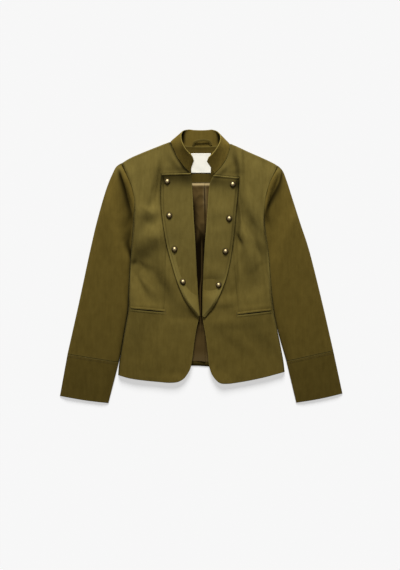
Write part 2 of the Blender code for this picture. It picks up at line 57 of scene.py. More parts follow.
# %% Cutting lines of the two halves
OUTLINES = {
    "right": {
        "shoulder": [(-198.5, 257.5), (-180, 269), (-145, 284.6), (-108, 299.4), (-92, 305.8),
                     (-77, 310.5)],
        "armhole": [(-198.5, 257.5), (-186, 230), (-172, 195), (-167, 173), (-166, 146), (-169, 120)],
        "side": [(-169, 120), (-171, 86), (-177, 8), (-182, -72), (-182.5, -107), (-193.8, -175),
                 (-204.2, -237), (-206.4, -254), (-207.5, -271.5)],
        "hem": [(-207.5, -271.5), (-181, -279.3), (-150, -284.2), (-103, -289), (-78, -290.8),
                (-57, -288.4), (-42.5, -279.8), (-33.5, -268)],
        "neckline": [(-77, 310), (-68, 288), (-58, 268), (-44, 250), (-26, 232)],
        "front_edge": [(-26, 232), (-23, 206), (-18.4, 117), (-14.2, 53), (-8.3, -61), (-3, -124)],
        "cutaway": [(-3, -124), (-9, -144), (-16, -183), (-22, -229), (-27, -255), (-33.5, -268)],
        "plastron": [(-99, 230), (-100, 191), (-99, 141), (-94, 101), (-85.6, 51), (-74.4, 8.6),
                     (-60.6, -36), (-38.2, -88.4), (-10, -126)],
        "sleeve": [(-202, 256), (-212, 249), (-221.5, 231.5), (-232, 207), (-243, 174.5), (-262, 106),
                   (-276, 46), (-305, -89), (-334, -219)],
        "forearm": [(-204.1, -235), (-204.7, -237.5), (-205.6, -240)],
        "cuff_hem": [(-353, -324), (-290, -335), (-232, -342)],
        "pocket": [(-177, -106), (-90, -114.2)],
        "dart": [(-88, 50), (-90, -20), (-93, -108)],
        "buttons": [(-84.6, 211), (-79.6, 126), (-66.6, 42), (-45.6, -39)],
    },
    "left": {
        "shoulder": [(190.5, 251), (182, 256.6), (152, 271), (120, 285), (87, 300.4), (73, 306)],
        "armhole": [(190.5, 251), (178, 225), (168, 202), (161, 177), (158, 156), (157, 131)],
        "side": [(157, 131), (159, 101), (168, 31), (174, -44), (181, -112), (195.5, -184),
                 (205.6, -238), (208.5, -263.5)],
        "hem": [(208.5, -263.5), (159, -276.9), (118, -285.7), (91, -290.3), (66, -293.4), (48, -292),
                (35.5, -282.5), (26, -269)],
        "neckline": [(73, 306), (71, 290), (64, 270), (50, 248), (31, 227)],
        "front_edge": [(31, 227), (22, 208), (19, 191), (14, 117), (7.6, 36), (3.2, -62), (2, -125)],
        "cutaway": [(2, -125), (6, -147), (11, -175), (16, -213), (20, -251), (26, -269)],
        "plastron": [(94, 221), (91, 178), (87, 141), (83.6, 97), (77, 41), (65.8, -17), (52, -57.4),
                     (34, -96.8), (9, -128)],
        "sleeve": [(193.5, 249), (199.5, 243.5), (204.5, 237), (214, 212.5), (224, 181.5), (248, 106.5),
                   (268, 46), (302, -89), (330, -211)],
        "forearm": [(193.2, -167), (197.2, -185), (204.2, -208), (212.6, -237)],
        "cuff_hem": [(353, -318), (297, -331), (237.4, -341)],
        "pocket": [(90, -121.2), (175.5, -111.2)],
        "dart": [(79, 50), (86, -30), (94, -114)],
        "buttons": [(78.6, 203.8), (69.8, 118.6), (60.6, 36.8), (43.4, -47)],
    },
}
BACK_NECK = [(-77, 310), (-40, 300), (-2, 297), (37, 299), (73, 306)]
BACK_HEM = [(-207.5, -271.5), (-128, -259), (-24, -248.6), (21, -250.6), (122, -258), (208.5, -263.5)]
print("lines in each half:", *OUTLINES["right"])

# %% Walls, gaps and heights of the laid-out panels
BACK_WALL, FRONT_WALL, PLASTRON_WALL, SLEEVE_WALL = 1.6, 2.0, 2.0, 1.8
COLLAR_WALL, LINING_WALL, FACING_WALL, LABEL_WALL = 2.2, 1.0, 1.2, 0.8
PLASTRON_LIFT = 1.0
SEAM_GAP = 0.02                           # two panels all but touch where they are sewn
REST_Z = BACK_WALL + 0.3                  # the underside of what lies on the back
STEEPEST = 1.9                            # the most that a sloping wall grows in height
SIDE_ROLL, SHOULDER_ROLL = 7.0, 5.0
SLEEVE_OUTER_ROLL, SLEEVE_INNER_ROLL = 20.0, 22.0
FOLD_FADE = 24.0                          # folds die out this near a seam

# y, then the height of a front's underside at its crown and at its free centre edge
FRONT_HEIGHTS = [(310, 8.0, 7.0), (235, 12.5, 7.5), (120, 16.0, 7.5), (10, 13.5, 7.5), (-115, 11.0, 7.5),
                 (-200, 11.5, 9.5), (-292, 12.0, 12.0)]
# y, then the height of the underside along the armhole and side seam
SEAM_HEIGHTS = [(256, 5.0), (235, 9.5), (205, 11.8), (170, 12.4), (140, 10.0), (112, 3.6), (95, REST_Z),
                (-345, REST_Z)]
SEAM_LIFT = {"right": 0.0, "left": 2.4}   # above the waist, the left side seam lies on a fold of the back
SEAM_LIFT_FROM = (-120, -30)
# y, then the height of the top sleeve's underside along its middle
SLEEVE_HEIGHTS = [(256, 9.0), (190, 12.5), (60, 9.5), (-90, 8.6), (-240, 7.6), (-345, 5.2)]
# leaning patches die out this near an edge
LEAN_FADE = {"flank": 9, "centre": 12, "sleeve_outer": 9, "sleeve_inner": 4, "plastron": 7}
print("what lies on the back starts at", REST_Z, "mm")

# %% [markdown]
# ## Where the cloth folds
# Light from the collar's side brightens what leans towards it and darkens what leans away, so each bright
# and dark band in the photograph is one side of a fold. A simulation would fold the cloth somewhere else.
# Placing each fold one by one puts it where this jacket has it: a ridge or trough along a short line, or a
# soft patch that leans to the light or away from it. Where cloth lies so deep that little light reaches
# it, an oval of shade helps.

# %% Folds: x and y of both ends, rise (a trough is negative), half width
FRONT_FOLDS = {
    "right": [
        (-108, 226, -129, 141, -2.6, 11), (-143, 138, -108, 131, 2.2, 10),
        (-140, 104, -108, 101, -1.8, 10), (-140, 75, -108, 72, 2.0, 10), (-168, 10, -125, 22, -3.2, 15),
        (-158, -2, -104, -77, 2.0, 10), (-132, 0, -94, -58, -1.8, 10),
    ],
    "left": [
        (104, 222, 133, 138, 2.4, 10), (98, 196, 120, 130, -1.6, 9), (112, 121, 152, 26, -2.4, 12),
        (100, 100, 136, 22, 1.6, 10), (90, 79, 107, 52, -1.8, 7), (160, 3, 112, -27, -0.8, 12),
        (160, -40, 140, -95, 1.2, 16),
    ],
}
SLEEVE_FOLDS = {
    "right": [(-205, 240, -176, 140, -5.2, 9), (-236, 190, -246, 40, 1.6, 14),
              (-192, 110, -186, 30, -2.2, 12)],
    "left": [(198, 236, 170, 152, -5.2, 9), (228, 130, 262, -20, 1.2, 16), (172, 110, 184, 20, -2.2, 12)],
}
print("folds on the fronts:", {side: len(rows) for side, rows in FRONT_FOLDS.items()})

# %% Leaning patches: x, y, half length, half width, turn of the length from x in degrees, lean
FRONT_PATCHES = {
    "right": [
        (-110, 206, 46, 7, 82, -0.20), (-112, 162, 34, 10, 72, 0.26), (-120, 147, 20, 6, -8, 0.16),
        (-134, 121, 26, 11, -10, -0.26), (-119, 93, 26, 17, 40, 0.24), (-103, 96, 46, 8, 98, 0.20),
        (-126, 48, 52, 20, 25, -0.26), (-161, 45, 22, 20, 0, -0.12), (-146, 104, 26, 13, 60, -0.16),
        (-160, 8, 34, 9, -18, -0.42), (-140, -95, 40, 6, -4, 0.22), (-161, -56, 44, 17, 103, 0.30),
        (-136, -84, 32, 13, 155, 0.24), (-152, -33, 38, 4.5, 120, -0.20), (-131, -42, 46, 8, 123, 0.18),
        (-90, -44, 50, 13, 115, -0.20), (-74, -10, 42, 7, 107, 0.16), (-28, -113, 22, 8, 140, -0.20),
        (-60, -136, 45, 9, 0, 0.08), (-60, 246, 34, 9, 130, -0.26), (-106, 240, 20, 12, 70, -0.14),
        (-165, 176, 40, 8, 103, 0.14), (-180, 244, 18, 11, 60, 0.12), (-98, -175, 28, 14, 90, 0.05),
        (-150, -232, 32, 13, 0, 0.06), (-68, -276, 28, 9, 0, 0.16),
    ],
    "left": [
        (88, 258, 38, 9, 110, -0.24), (98, 176, 60, 7, 95, -0.24), (92, 96, 40, 6, 95, -0.20),
        (122, 170, 50, 9, 112, 0.14), (132, 112, 46, 8, 120, -0.24), (105, 132, 20, 8, 15, -0.05),
        (116, 78, 54, 9, 118, 0.30), (125, 34, 28, 9, 118, 0.20), (85, 22, 26, 6, 98, 0.14),
        (145, 42, 22, 9, 110, -0.24), (97, 66, 15, 3.5, 118, -0.34), (92, 50, 12, 6, 120, 0.16),
        (134, -6, 38, 9, 27, -0.06), (135, -74, 48, 22, 20, 0.23), (135, -99, 46, 6, 6, 0.20),
        (166, -26, 38, 5, 97, 0.26), (158, 145, 48, 5, 82, 0.14), (62, -78, 24, 11, 0, 0.16),
        (55, -101, 28, 5, 3, -0.16), (50, -128, 42, 9, 0, 0.11), (72, -152, 45, 8, 0, -0.07),
        (140, -142, 48, 11, 8, -0.08), (78, -188, 50, 12, 140, -0.11), (120, -192, 36, 7, 133, 0.07),
        (158, -184, 48, 13, 132, -0.13), (46, -272, 28, 12, 150, 0.18), (172, 240, 20, 12, 115, 0.12),
        (120, 262, 34, 14, 150, 0.05), (55, 236, 30, 8, 40, -0.22),
    ],
}
PLASTRON_PATCHES = {
    "right": [(-26, -76, 44, 20, 130, 0.24), (-52, -20, 44, 14, 112, 0.10), (-40, 165, 16, 34, 0, -0.04)],
    "left": [(24, -69, 36, 17, 2, 0.32), (28, -30, 30, 8, 3, -0.12), (36, 2, 28, 14, 0, 0.10),
             (40, 160, 32, 20, 0, 0.06), (36, 124, 32, 10, 0, -0.07), (36, 92, 30, 14, 0, 0.07),
             (36, 48, 26, 14, 0, 0.05)],
}
SLEEVE_PATCHES = {
    "right": [(-191, 232, 26, 8, 113, 0.44), (-172, 178, 28, 5, 105, 0.24),
              (-220, 130, 80, 13, 100, 0.08)],
    "left": [(182, 230, 26, 9, 69, 0.48), (163, 172, 28, 5, 78, 0.26), (198, 90, 70, 16, 76, 0.08),
             (232, 140, 60, 8, 72, 0.12)],
}
print("leaning patches on the fronts:", {side: len(rows) for side, rows in FRONT_PATCHES.items()})

# %% Shade and small creases
# painted shade in the crease beside a sleeve's head: y, x, half width towards the body and away from it,
# depth
SLEEVE_SHADE = {
    "right": [(246, -206, 4, 5, 0.0), (232, -202.6, 3, 6, 0.85), (210, -195.6, 3.5, 11, 1.0),
              (190, -189.4, 3.5, 13, 1.0), (170, -184.4, 3, 14, 1.0), (150, -179, 3, 15, 1.0),
              (128, -174, 3, 15, 0.8), (105, -175, 3, 18, 0.45), (85, -177, 3, 18, 0.6),
              (55, -183, 6, 9, 0.85), (35, -178, 5, 7, 0.8), (15, -173, 4, 5, 0.6),
              (-10, -178, 4, 5, 0.15), (-60, -184, 4, 6, 0.0)],
    "left": [(243, 203, 4, 5, 0.0), (232, 201, 3, 4, 0.7), (210, 196, 4, 8, 0.95),
             (190, 186.5, 4.5, 13, 1.0), (170, 176, 4.5, 13, 1.0), (150, 166.5, 4, 11, 1.0),
             (130, 160.5, 3, 9, 0.6), (110, 160, 3, 12, 0.15), (60, 166, 3, 9, 0.1), (0, 172, 3, 8, 0.0)],
}
# dim ovals where the fronts lie in shade: x, y, half length, half width, turn, depth
FRONT_SHADE = {
    "right": [(-42, 243, 20, 8, -43, 0.5), (-78, 262, 34, 14, 100, 0.14), (-104, 200, 34, 6, 90, 0.3),
              (-160, 24, 34, 16, -10, 0.34), (-65, 242, 34, 7, 0, 0.32), (-163, 9, 14, 5, -15, 0.35),
              (-122, 190, 50, 4, 77, 0.26), (-200, -235, 40, 6, 85, 0.2), (-130, -282, 40, 5, -5, 0.14),
              (-170, -195, 30, 40, 0, 0.06), (-85, -262, 40, 14, 0, 0.06), (-45, -108, 30, 14, 130, 0.14)],
    "left": [(89, 250, 34, 9, 105, 0.3), (50, 234, 16, 5, 40, 0.3), (80, 234, 24, 8, 0, 0.35),
             (147, 45, 24, 7, 112, 0.2), (130, 160, 40, 16, 100, 0.08), (146, 106, 36, 8, 112, 0.18),
             (139, 50, 20, 6, 118, 0.2), (91, 150, 70, 5, 93, 0.5), (99, 64, 16, 3, 118, 0.5),
             (75, -175, 60, 40, 0, 0.09), (160, -190, 45, 40, -40, 0.11)],
}
# smaller creases, too fine for the solids, in the same way as the folds
FRONT_CREASES = {
    "right": [(-150, 148, -122, 130, 0.7, 4), (-176, 6, -150, 2, -0.6, 8),
              (-172, -4, -120, -52, -0.8, 5), (-60, -128, -20, -132, -0.5, 6),
              (-120, 196, -128, 176, -0.6, 5)],
    "left": [(91, 80, 105, 55, -1.3, 3.5), (163, 10, 140, -4, -0.5, 6), (60, -130, 20, -134, -0.5, 6),
             (76, 292, 92, 232, -1.4, 8), (146, 60, 158, 30, -0.8, 6)],
}
SLEEVE_CREASES = {
    "right": [(-176, 128, -188, 92, -1.2, 5), (-184, 80, -196, 58, -0.8, 5),
              (-250, -60, -262, -120, 0.5, 12)],
    "left": [(170, 190, 182, 192, -0.8, 1.6), (166, 120, 176, 84, -1.2, 5),
             (252, -60, 268, -130, 0.5, 12)],
}
print("dim ovals on the fronts:", {side: len(rows) for side, rows in FRONT_SHADE.items()})

# %% [markdown]
# ## Curves and distances
# Every shape below is made of two questions: where does a smooth line run, and how far from it is a
# point? Blender's own curves can answer the first, but NumPy answers both for thousands of points at
# once.

# %% Smooth lines through a few points


def even(count):
    return np.linspace(0, 1, count)


def smooth_curve(points, fractions):
    """Points at these fractions of the length of a smooth curve through the given points."""
    knots = np.array(points, float)
    reach = np.concatenate([[0], np.cumsum(np.linalg.norm(np.diff(knots, axis=0), axis=1) ** 0.5)])
    slope = np.gradient(knots, reach, axis=0)
    dense = []
    for i in range(len(knots) - 1):
        t = np.linspace(0, 1, 24, endpoint=False)[:, None]
        span = reach[i + 1] - reach[i]
        dense.append((2 * t**3 - 3 * t**2 + 1) * knots[i] + (t**3 - 2 * t**2 + t) * span * slope[i]
                     + (3 * t**2 - 2 * t**3) * knots[i + 1] + (t**3 - t**2) * span * slope[i + 1])
    dense = np.concatenate([*dense, knots[-1:]])
    length = np.concatenate([[0], np.cumsum(np.linalg.norm(np.diff(dense, axis=0), axis=1))])
    at = np.asarray(fractions) * length[-1]
    return np.stack([np.interp(at, length, dense[:, k]) for k in range(dense.shape[1])], axis=1)


def chain(*curves):
    """Curves joined end to end, without repeating the points where they meet."""
    return np.concatenate([curves[0], *[c[1:] for c in curves[1:]]])


def offset_curve(line, distance):
    """A flat curve moved to its left by a distance."""
    ahead = np.gradient(line, axis=0)
    ahead /= np.linalg.norm(ahead, axis=1)[:, None]
    return line + distance * np.stack([-ahead[:, 1], ahead[:, 0]], axis=1)


def distance_to(line, xy):
    """How far each point is from a flat curve."""
    flat = xy.reshape(-1, 1, 2)
    start, step = line[:-1], np.diff(line, axis=0)
    along = ((flat - start) * step).sum(2) / np.maximum((step * step).sum(1), 1e-9)
    foot = start + np.clip(along, 0, 1)[..., None] * step
    return np.linalg.norm(flat - foot, axis=2).min(1).reshape(xy.shape[:-1])


def edge_lines(cut):
    """The seam and edge curves of one half."""
    lines = {name: smooth_curve(cut[name], even(40)) for name in cut if name not in ("pocket", "buttons")}
    lines["flank"] = chain(lines["armhole"], lines["side"])
    lines["centre"] = chain(lines["neckline"], lines["front_edge"], lines["cutaway"])
    return lines


LINES = {side: edge_lines(OUTLINES[side]) for side in SIDES}
print("armhole to hem along the right side:",
      round(np.linalg.norm(np.diff(LINES["right"]["flank"], axis=0), axis=1).sum()), "mm")

# %% [markdown]
# ## Heights above the table
# A laid-out front is pinned at its side seam, swells over the air inside, and comes down to a free edge
# at the centre. One sine-shaped roll at each seam and one table down the middle give that, and the folds
# are added on top.

# %% Rolls, tables, folds and ripples
FOLD_ENDS = 1.9                           # how soon a fold dies out along its line
# the tanh of this cubic is close to the error function, whose slope is a bell
BELL_SLOPE, BELL_BEND, BELL_SUM = 1.1284, 0.1005, 0.8862
LEAN_REACH = 3.2                          # the cloth levels out this many half widths from a leaning patch


def rolled(distance, width):
    """0 at an edge, rising over the width of a rolled edge to 1."""
    return np.sin(np.clip(distance / width, 0, 1) * math.pi / 2)


def eased(value, low, high):
    """0 at the low value, 1 at the high one and smooth between. The low value may be the larger."""
    t = np.clip((value - low) / (high - low), 0, 1)
    return t * t * (3 - 2 * t)


def bell(distance, width):
    """1 on a line, falling off smoothly over about this width."""
    return np.exp(-(distance / width) ** 2)


def line_mark(distance, y, depth, reach, start, end):
    """A soft mark along a line, which comes in as y goes from the start to the end."""
    return depth * bell(distance, reach) * eased(y, start, end)


def table_at(y, rows, column):
    """A column of a table of heights, read smoothly at y. The table's first column is y, falling."""
    table = np.array(rows[::-1], float)
    knots, values = table[:, 0], table[:, column]
    slope = np.gradient(values, knots)
    y = np.clip(y, knots[0], knots[-1])
    i = np.clip(np.searchsorted(knots, y) - 1, 0, len(knots) - 2)
    span = knots[i + 1] - knots[i]
    t = (y - knots[i]) / span
    return ((2 * t**3 - 3 * t**2 + 1) * values[i] + (t**3 - 2 * t**2 + t) * span * slope[i]
            + (3 * t**2 - 2 * t**3) * values[i + 1] + (t**3 - t**2) * span * slope[i + 1])


def folds_at(xy, folds):
    """Height that soft ridges and troughs add. Each dies out towards both ends of its line."""
    total = np.zeros(xy.shape[:-1])
    for x0, y0, x1, y1, rise, width in folds:
        start, step = np.array([x0, y0]), np.array([x1 - x0, y1 - y0])
        length = np.linalg.norm(step)
        along = (xy - start) @ step / length**2 - 0.5
        away = ((xy - start) @ np.array([-step[1], step[0]])) / length
        total += rise * np.exp(-(away / width) ** 2 - (FOLD_ENDS * along) ** 4)
    return total


def leaning(xy, patches):
    """Height of cloth that leans towards the collar (or away, if negative) in soft oval patches."""
    total = np.zeros(xy.shape[:-1])
    for x, y, half_length, half_width, turn, lean in patches:
        dx, dy = xy[..., 0] - x, xy[..., 1] - y
        cos, sin = math.cos(math.radians(turn)), math.sin(math.radians(turn))
        flat = cos**2 / half_length**2 + sin**2 / half_width**2
        slant = cos * sin * (1 / half_length**2 - 1 / half_width**2)
        tall = sin**2 / half_length**2 + cos**2 / half_width**2
        reach = math.sqrt(tall) * (dy + slant / tall * dx)
        step = np.tanh(reach * (BELL_SLOPE + BELL_BEND * reach * reach)) * bell(reach, LEAN_REACH)
        sideways = np.exp(-(flat - slant**2 / tall) * dx**2)
        total -= lean * BELL_SUM / math.sqrt(tall) * step * sideways
    return total


def ovals(xy, rows):
    """Soft dim ovals, added up."""
    total = np.zeros(xy.shape[:-1])
    for x, y, half_length, half_width, turn, depth in rows:
        dx, dy = xy[..., 0] - x, xy[..., 1] - y
        cos, sin = math.cos(math.radians(turn)), math.sin(math.radians(turn))
        along, away = cos * dx + sin * dy, cos * dy - sin * dx
        total += depth * bell(along, half_length) * bell(away, half_width)
    return total


def ripple(xy, length, seed, waves=8):
    """A gentle unevenness between about -1 and 1, in waves of about this length."""
    draw = np.random.default_rng(seed)
    total = np.zeros(xy.shape[:-1])
    for _ in range(waves):
        turn, phase = draw.uniform(0, math.pi), draw.uniform(0, 2 * math.pi)
        wave = length * draw.uniform(0.7, 1.6)
        across = xy[..., 0] * math.cos(turn) + xy[..., 1] * math.sin(turn)
        total += np.sin(2 * math.pi * across / wave + phase)
    return total / (1.4 * math.sqrt(waves))


print("a fold of 2 mm at its middle and end:",
      folds_at(np.array([(0.0, 0.0), (10.0, 0.0)]), [(-10, 0, 10, 0, 2.0, 5)]).round(2))


# %% Height of the fronts
FOLD_STRENGTH = 0.6                       # these folds are shared with the leaning patches
DART_DEPTH, DART_HALF_WIDTH = 0.8, 1.7
RIPPLE_HEIGHT, RIPPLE_LENGTH = 0.3, 62.0
RIPPLE_SEEDS = {"right": 11, "left": 23}


def front_under(side, xy):
    """Height of a front's underside above the table."""
    lines = LINES[side]
    y = xy[..., 1]
    to_flank = distance_to(lines["flank"], xy)
    to_centre = distance_to(lines["centre"], xy)
    crown = table_at(y, FRONT_HEIGHTS, 1)
    centre = table_at(y, FRONT_HEIGHTS, 2)
    seam = np.maximum(table_at(y, SEAM_HEIGHTS, 1), REST_Z) + SEAM_LIFT[side] * eased(y, *SEAM_LIFT_FROM)
    share = to_flank / (to_flank + to_centre + 1e-6)
    height = seam + (crown - seam) * rolled(to_flank, SIDE_ROLL)
    height = height + (centre - crown) * eased(share, 0.3, 1.0)
    fade = rolled(to_flank, FOLD_FADE) * rolled(to_centre, FOLD_FADE)
    folds = FOLD_STRENGTH * folds_at(xy, FRONT_FOLDS[side]) + folds_at(xy, FRONT_CREASES[side])
    folds = folds + RIPPLE_HEIGHT * ripple(xy, RIPPLE_LENGTH, RIPPLE_SEEDS[side])
    height = height + folds * fade
    fade = rolled(to_flank, LEAN_FADE["flank"]) * rolled(to_centre, LEAN_FADE["centre"])
    height = height + leaning(xy, FRONT_PATCHES[side]) * fade
    height = height - DART_DEPTH * bell(distance_to(lines["dart"], xy), DART_HALF_WIDTH)
    height = REST_Z + (height - REST_Z) * rolled(distance_to(lines["shoulder"], xy), SHOULDER_ROLL)
    return np.maximum(height, REST_Z)


def steepness(height, xy):
    """How much taller than its thickness a sloping wall is, at each point."""
    probe = 0.5
    right = height(xy + (probe, 0)) - height(xy - (probe, 0))
    up = height(xy + (0, probe)) - height(xy - (0, probe))
    return np.minimum(np.sqrt(1 + (right / (2 * probe)) ** 2 + (up / (2 * probe)) ** 2), STEEPEST)


def front_top(side, xy):
    return front_under(side, xy) + FRONT_WALL * steepness(lambda p: front_under(side, p), xy)


probe_points = np.array([(-120.0, 120.0), (-60.0, -200.0), (-178.0, 0.0)])
print("right front's top at chest, skirt and side seam, mm:", front_top("right", probe_points).round(1))

# %% Height of the sleeves and cuffs
SLEEVE_STEP = 1.0                         # a sleeve's edge lies this far below the front's
SLEEVE_FOLD_STRENGTH = 1.5


def sleeve_inner_line(side):
    """The sleeve's edge along the armhole and body, then its own free edge to the cuff."""
    lines = LINES[side]
    hidden = lines["flank"][lines["flank"][:, 1] > OUTLINES[side]["forearm"][0][1] + 8]
    beside_body = offset_curve(hidden, SIDES[side] * SEAM_GAP)
    return smooth_curve([*beside_body, *lines["forearm"][7::8]], even(240))


def cuff_lines(side):
    """The cuff's outer and inner edges, from the cuff seam to the hem of the cuff."""
    cut = OUTLINES[side]
    outer = (cut["sleeve"][-1], cut["cuff_hem"][0])
    inner = (cut["forearm"][-1], cut["cuff_hem"][-1])
    return np.array([outer, inner], float)


INNER_LINES = {side: sleeve_inner_line(side) for side in SIDES}


def sleeve_under(side, xy):
    """Height of a top sleeve's or cuff's underside above the table."""
    y = xy[..., 1]
    outer_cuff, inner_cuff = cuff_lines(side)
    to_outer = distance_to(chain(LINES[side]["sleeve"], outer_cuff), xy)
    to_inner = distance_to(chain(INNER_LINES[side], inner_cuff), xy)
    seam = np.maximum(table_at(y, SEAM_HEIGHTS, 1) - SLEEVE_STEP, REST_Z)
    seam = seam + SEAM_LIFT[side] * eased(y, *SEAM_LIFT_FROM)
    crown = table_at(y, SLEEVE_HEIGHTS, 1)
    height = REST_Z + (crown - REST_Z) * rolled(to_outer, SLEEVE_OUTER_ROLL)
    height = seam + (height - seam) * rolled(to_inner, SLEEVE_INNER_ROLL)
    fade = rolled(to_outer, FOLD_FADE) * rolled(to_inner, FOLD_FADE / 3)
    creases = SLEEVE_FOLD_STRENGTH * folds_at(xy, SLEEVE_FOLDS[side]) + folds_at(xy, SLEEVE_CREASES[side])
    creases = creases + RIPPLE_HEIGHT * ripple(xy, 1.3 * RIPPLE_LENGTH, RIPPLE_SEEDS[side] + 1)
    height = height + creases * fade
    fade = rolled(to_outer, LEAN_FADE["sleeve_outer"]) * rolled(to_inner, LEAN_FADE["sleeve_inner"])
    return np.maximum(height + leaning(xy, SLEEVE_PATCHES[side]) * fade, REST_Z)


def sleeve_top(side, xy):
    return sleeve_under(side, xy) + SLEEVE_WALL * steepness(lambda p: sleeve_under(side, p), xy)


print("right sleeve's top at its middle, mm:", sleeve_top("right", np.array([(-250.0, -90.0)])).round(1))

# %% [markdown]
# ## Camera, light and floor
# The photograph looks straight down from far away. A large soft lamp low on the collar's side gives the
# long soft shading of the folds and the shadow under the hem, and a bright world fills the rest, as white
# studio walls do. A small lamp overhead lifts the dark sides. The floor gives off a little light of its
# own and has its own sun, so that it stays as even and pale as a photographer's table and still takes a
# shadow.

# %% Camera straight above
PHOTO_PIXELS = (400, 570)
MM_PER_PIXEL = 2.5
PHOTO_CENTRE = (-3.0, -46.75)             # what the middle of the photograph shows
CAMERA_HEIGHT = 4500.0
SENSOR = 36.0

camera = bpy.data.objects.new("camera", bpy.data.cameras.new("camera"))
camera.location = (PHOTO_CENTRE[0] * MM, PHOTO_CENTRE[1] * MM, CAMERA_HEIGHT * MM)
camera.data.sensor_width = SENSOR
camera.data.lens = SENSOR * CAMERA_HEIGHT / (PHOTO_PIXELS[1] * MM_PER_PIXEL)
bpy.context.scene.collection.objects.link(camera)
bpy.context.scene.camera = camera
print(f"lens {camera.data.lens:.1f} mm at {CAMERA_HEIGHT * MM} m")

# %% Lamp, world and floor
KEY_PLACE, KEY_AIM, KEY_SIZE, KEY_WATTS = (-0.05, 1.9, 0.95), (0.0, -0.02, 0.0), (0.8, 0.4), 66.0
TOP_PLACE, TOP_SIZE, TOP_WATTS = (-0.25, 0.64, 2.2), 0.45, 9.0
SUN_PLACE, FLOOR_SUN, FLOOR_SUN_ANGLE = (-0.05, 1.5, 1.1), 3.5, 0.5
WORLD_LIGHT = 0.1
FLOOR_GLOW, FLOOR_WHITE = 0.555, (0.5, 0.5, 0.5)
FLOOR_HALF, FLOOR_DROP = 4, 0.0004          # metres


def aim_at_jacket(light, place):
    """Put a light in its place and turn it towards the middle of the jacket."""
    aim = [a - p for a, p in zip(KEY_AIM, place)]
    light.location = place
    light.rotation_euler = (math.atan2(math.hypot(aim[0], aim[1]), -aim[2]), 0, math.atan2(-aim[0], aim[1]))
    bpy.context.scene.collection.objects.link(light)


lamp = bpy.data.objects.new("key_lamp", bpy.data.lights.new("key_lamp", "AREA"))
lamp.data.shape = "RECTANGLE"
lamp.data.size, lamp.data.size_y = KEY_SIZE
lamp.data.energy = KEY_WATTS
sun = bpy.data.objects.new("floor_sun", bpy.data.lights.new("floor_sun", "SUN"))
sun.data.energy = FLOOR_SUN
sun.data.angle = FLOOR_SUN_ANGLE
top_lamp = bpy.data.objects.new("top_lamp", bpy.data.lights.new("top_lamp", "AREA"))
top_lamp.data.size = TOP_SIZE
top_lamp.data.energy = TOP_WATTS
for light, place in ((lamp, KEY_PLACE), (sun, SUN_PLACE), (top_lamp, TOP_PLACE)):
    aim_at_jacket(light, place)

world = bpy.data.worlds.new("studio")
world.use_nodes = True
world.node_tree.nodes["Background"].inputs["Color"].default_value = (1.0, 0.995, 1.0, 1.0)
world.node_tree.nodes["Background"].inputs["Strength"].default_value = WORLD_LIGHT
bpy.context.scene.world = world
bpy.context.scene.view_settings.view_transform = "Standard"

floor_mesh = bpy.data.meshes.new("floor")
floor_signs = ((-1, -1), (1, -1), (1, 1), (-1, 1))
floor_corners = [(x * FLOOR_HALF, y * FLOOR_HALF, -FLOOR_DROP) for x, y in floor_signs]
floor_mesh.from_pydata(floor_corners, [], [(0, 1, 2, 3)])
floor = bpy.data.objects.new("floor", floor_mesh)
floor_finish = bpy.data.materials.new("pale_table")
floor_finish.use_nodes = True
floor_shader = floor_finish.node_tree.nodes["Principled BSDF"]
floor_shader.inputs["Base Color"].default_value = (*FLOOR_WHITE, 1)
floor_shader.inputs["Roughness"].default_value = 0.9
floor_shader.inputs["Specular IOR Level"].default_value = 0.0
floor_shader.inputs["Emission Color"].default_value = (1, 1, 1, 1)
floor_shader.inputs["Emission Strength"].default_value = FLOOR_GLOW
floor_mesh.materials.append(floor_finish)
bpy.context.scene.collection.objects.link(floor)


def link_light_to_floor(light, state):
    """Light only the floor with this light (INCLUDE), or everything but the floor (EXCLUDE)."""
    group = bpy.data.collections.new(light.name + "_floor")
    group.objects.link(floor)
    group.collection_objects[0].light_linking.link_state = state
    light.light_linking.receiver_collection = group


link_light_to_floor(lamp, "EXCLUDE")
link_light_to_floor(top_lamp, "EXCLUDE")
link_light_to_floor(sun, "INCLUDE")
print("lamp, sun, world and floor are in place")

# %% [markdown]
# ## Cloth, lining and thread
# Cotton twill shows fine slanting ribs, uneven threads, and paler edges where the cloth is turned and
# rubbed and where it catches the light, so the paler edges are wear and painted highlight together. A flat
# colour would look like plastic. A wave texture gives the ribs at their real width, two noises give the
# threads and the slow changes of dye, an edge attribute on the mesh says where the colour is paler, for
# wear and painted highlight, and a second attribute says where shade is painted into the colour.

# %% Small helpers for shader nodes


def linear(colour, tone=1.0):
    """An 8-bit screen colour as the linear values a shader takes, lightened or darkened by a tone."""
    return tuple(tone * (c / 255) ** 2.2 for c in colour) + (1.0,)


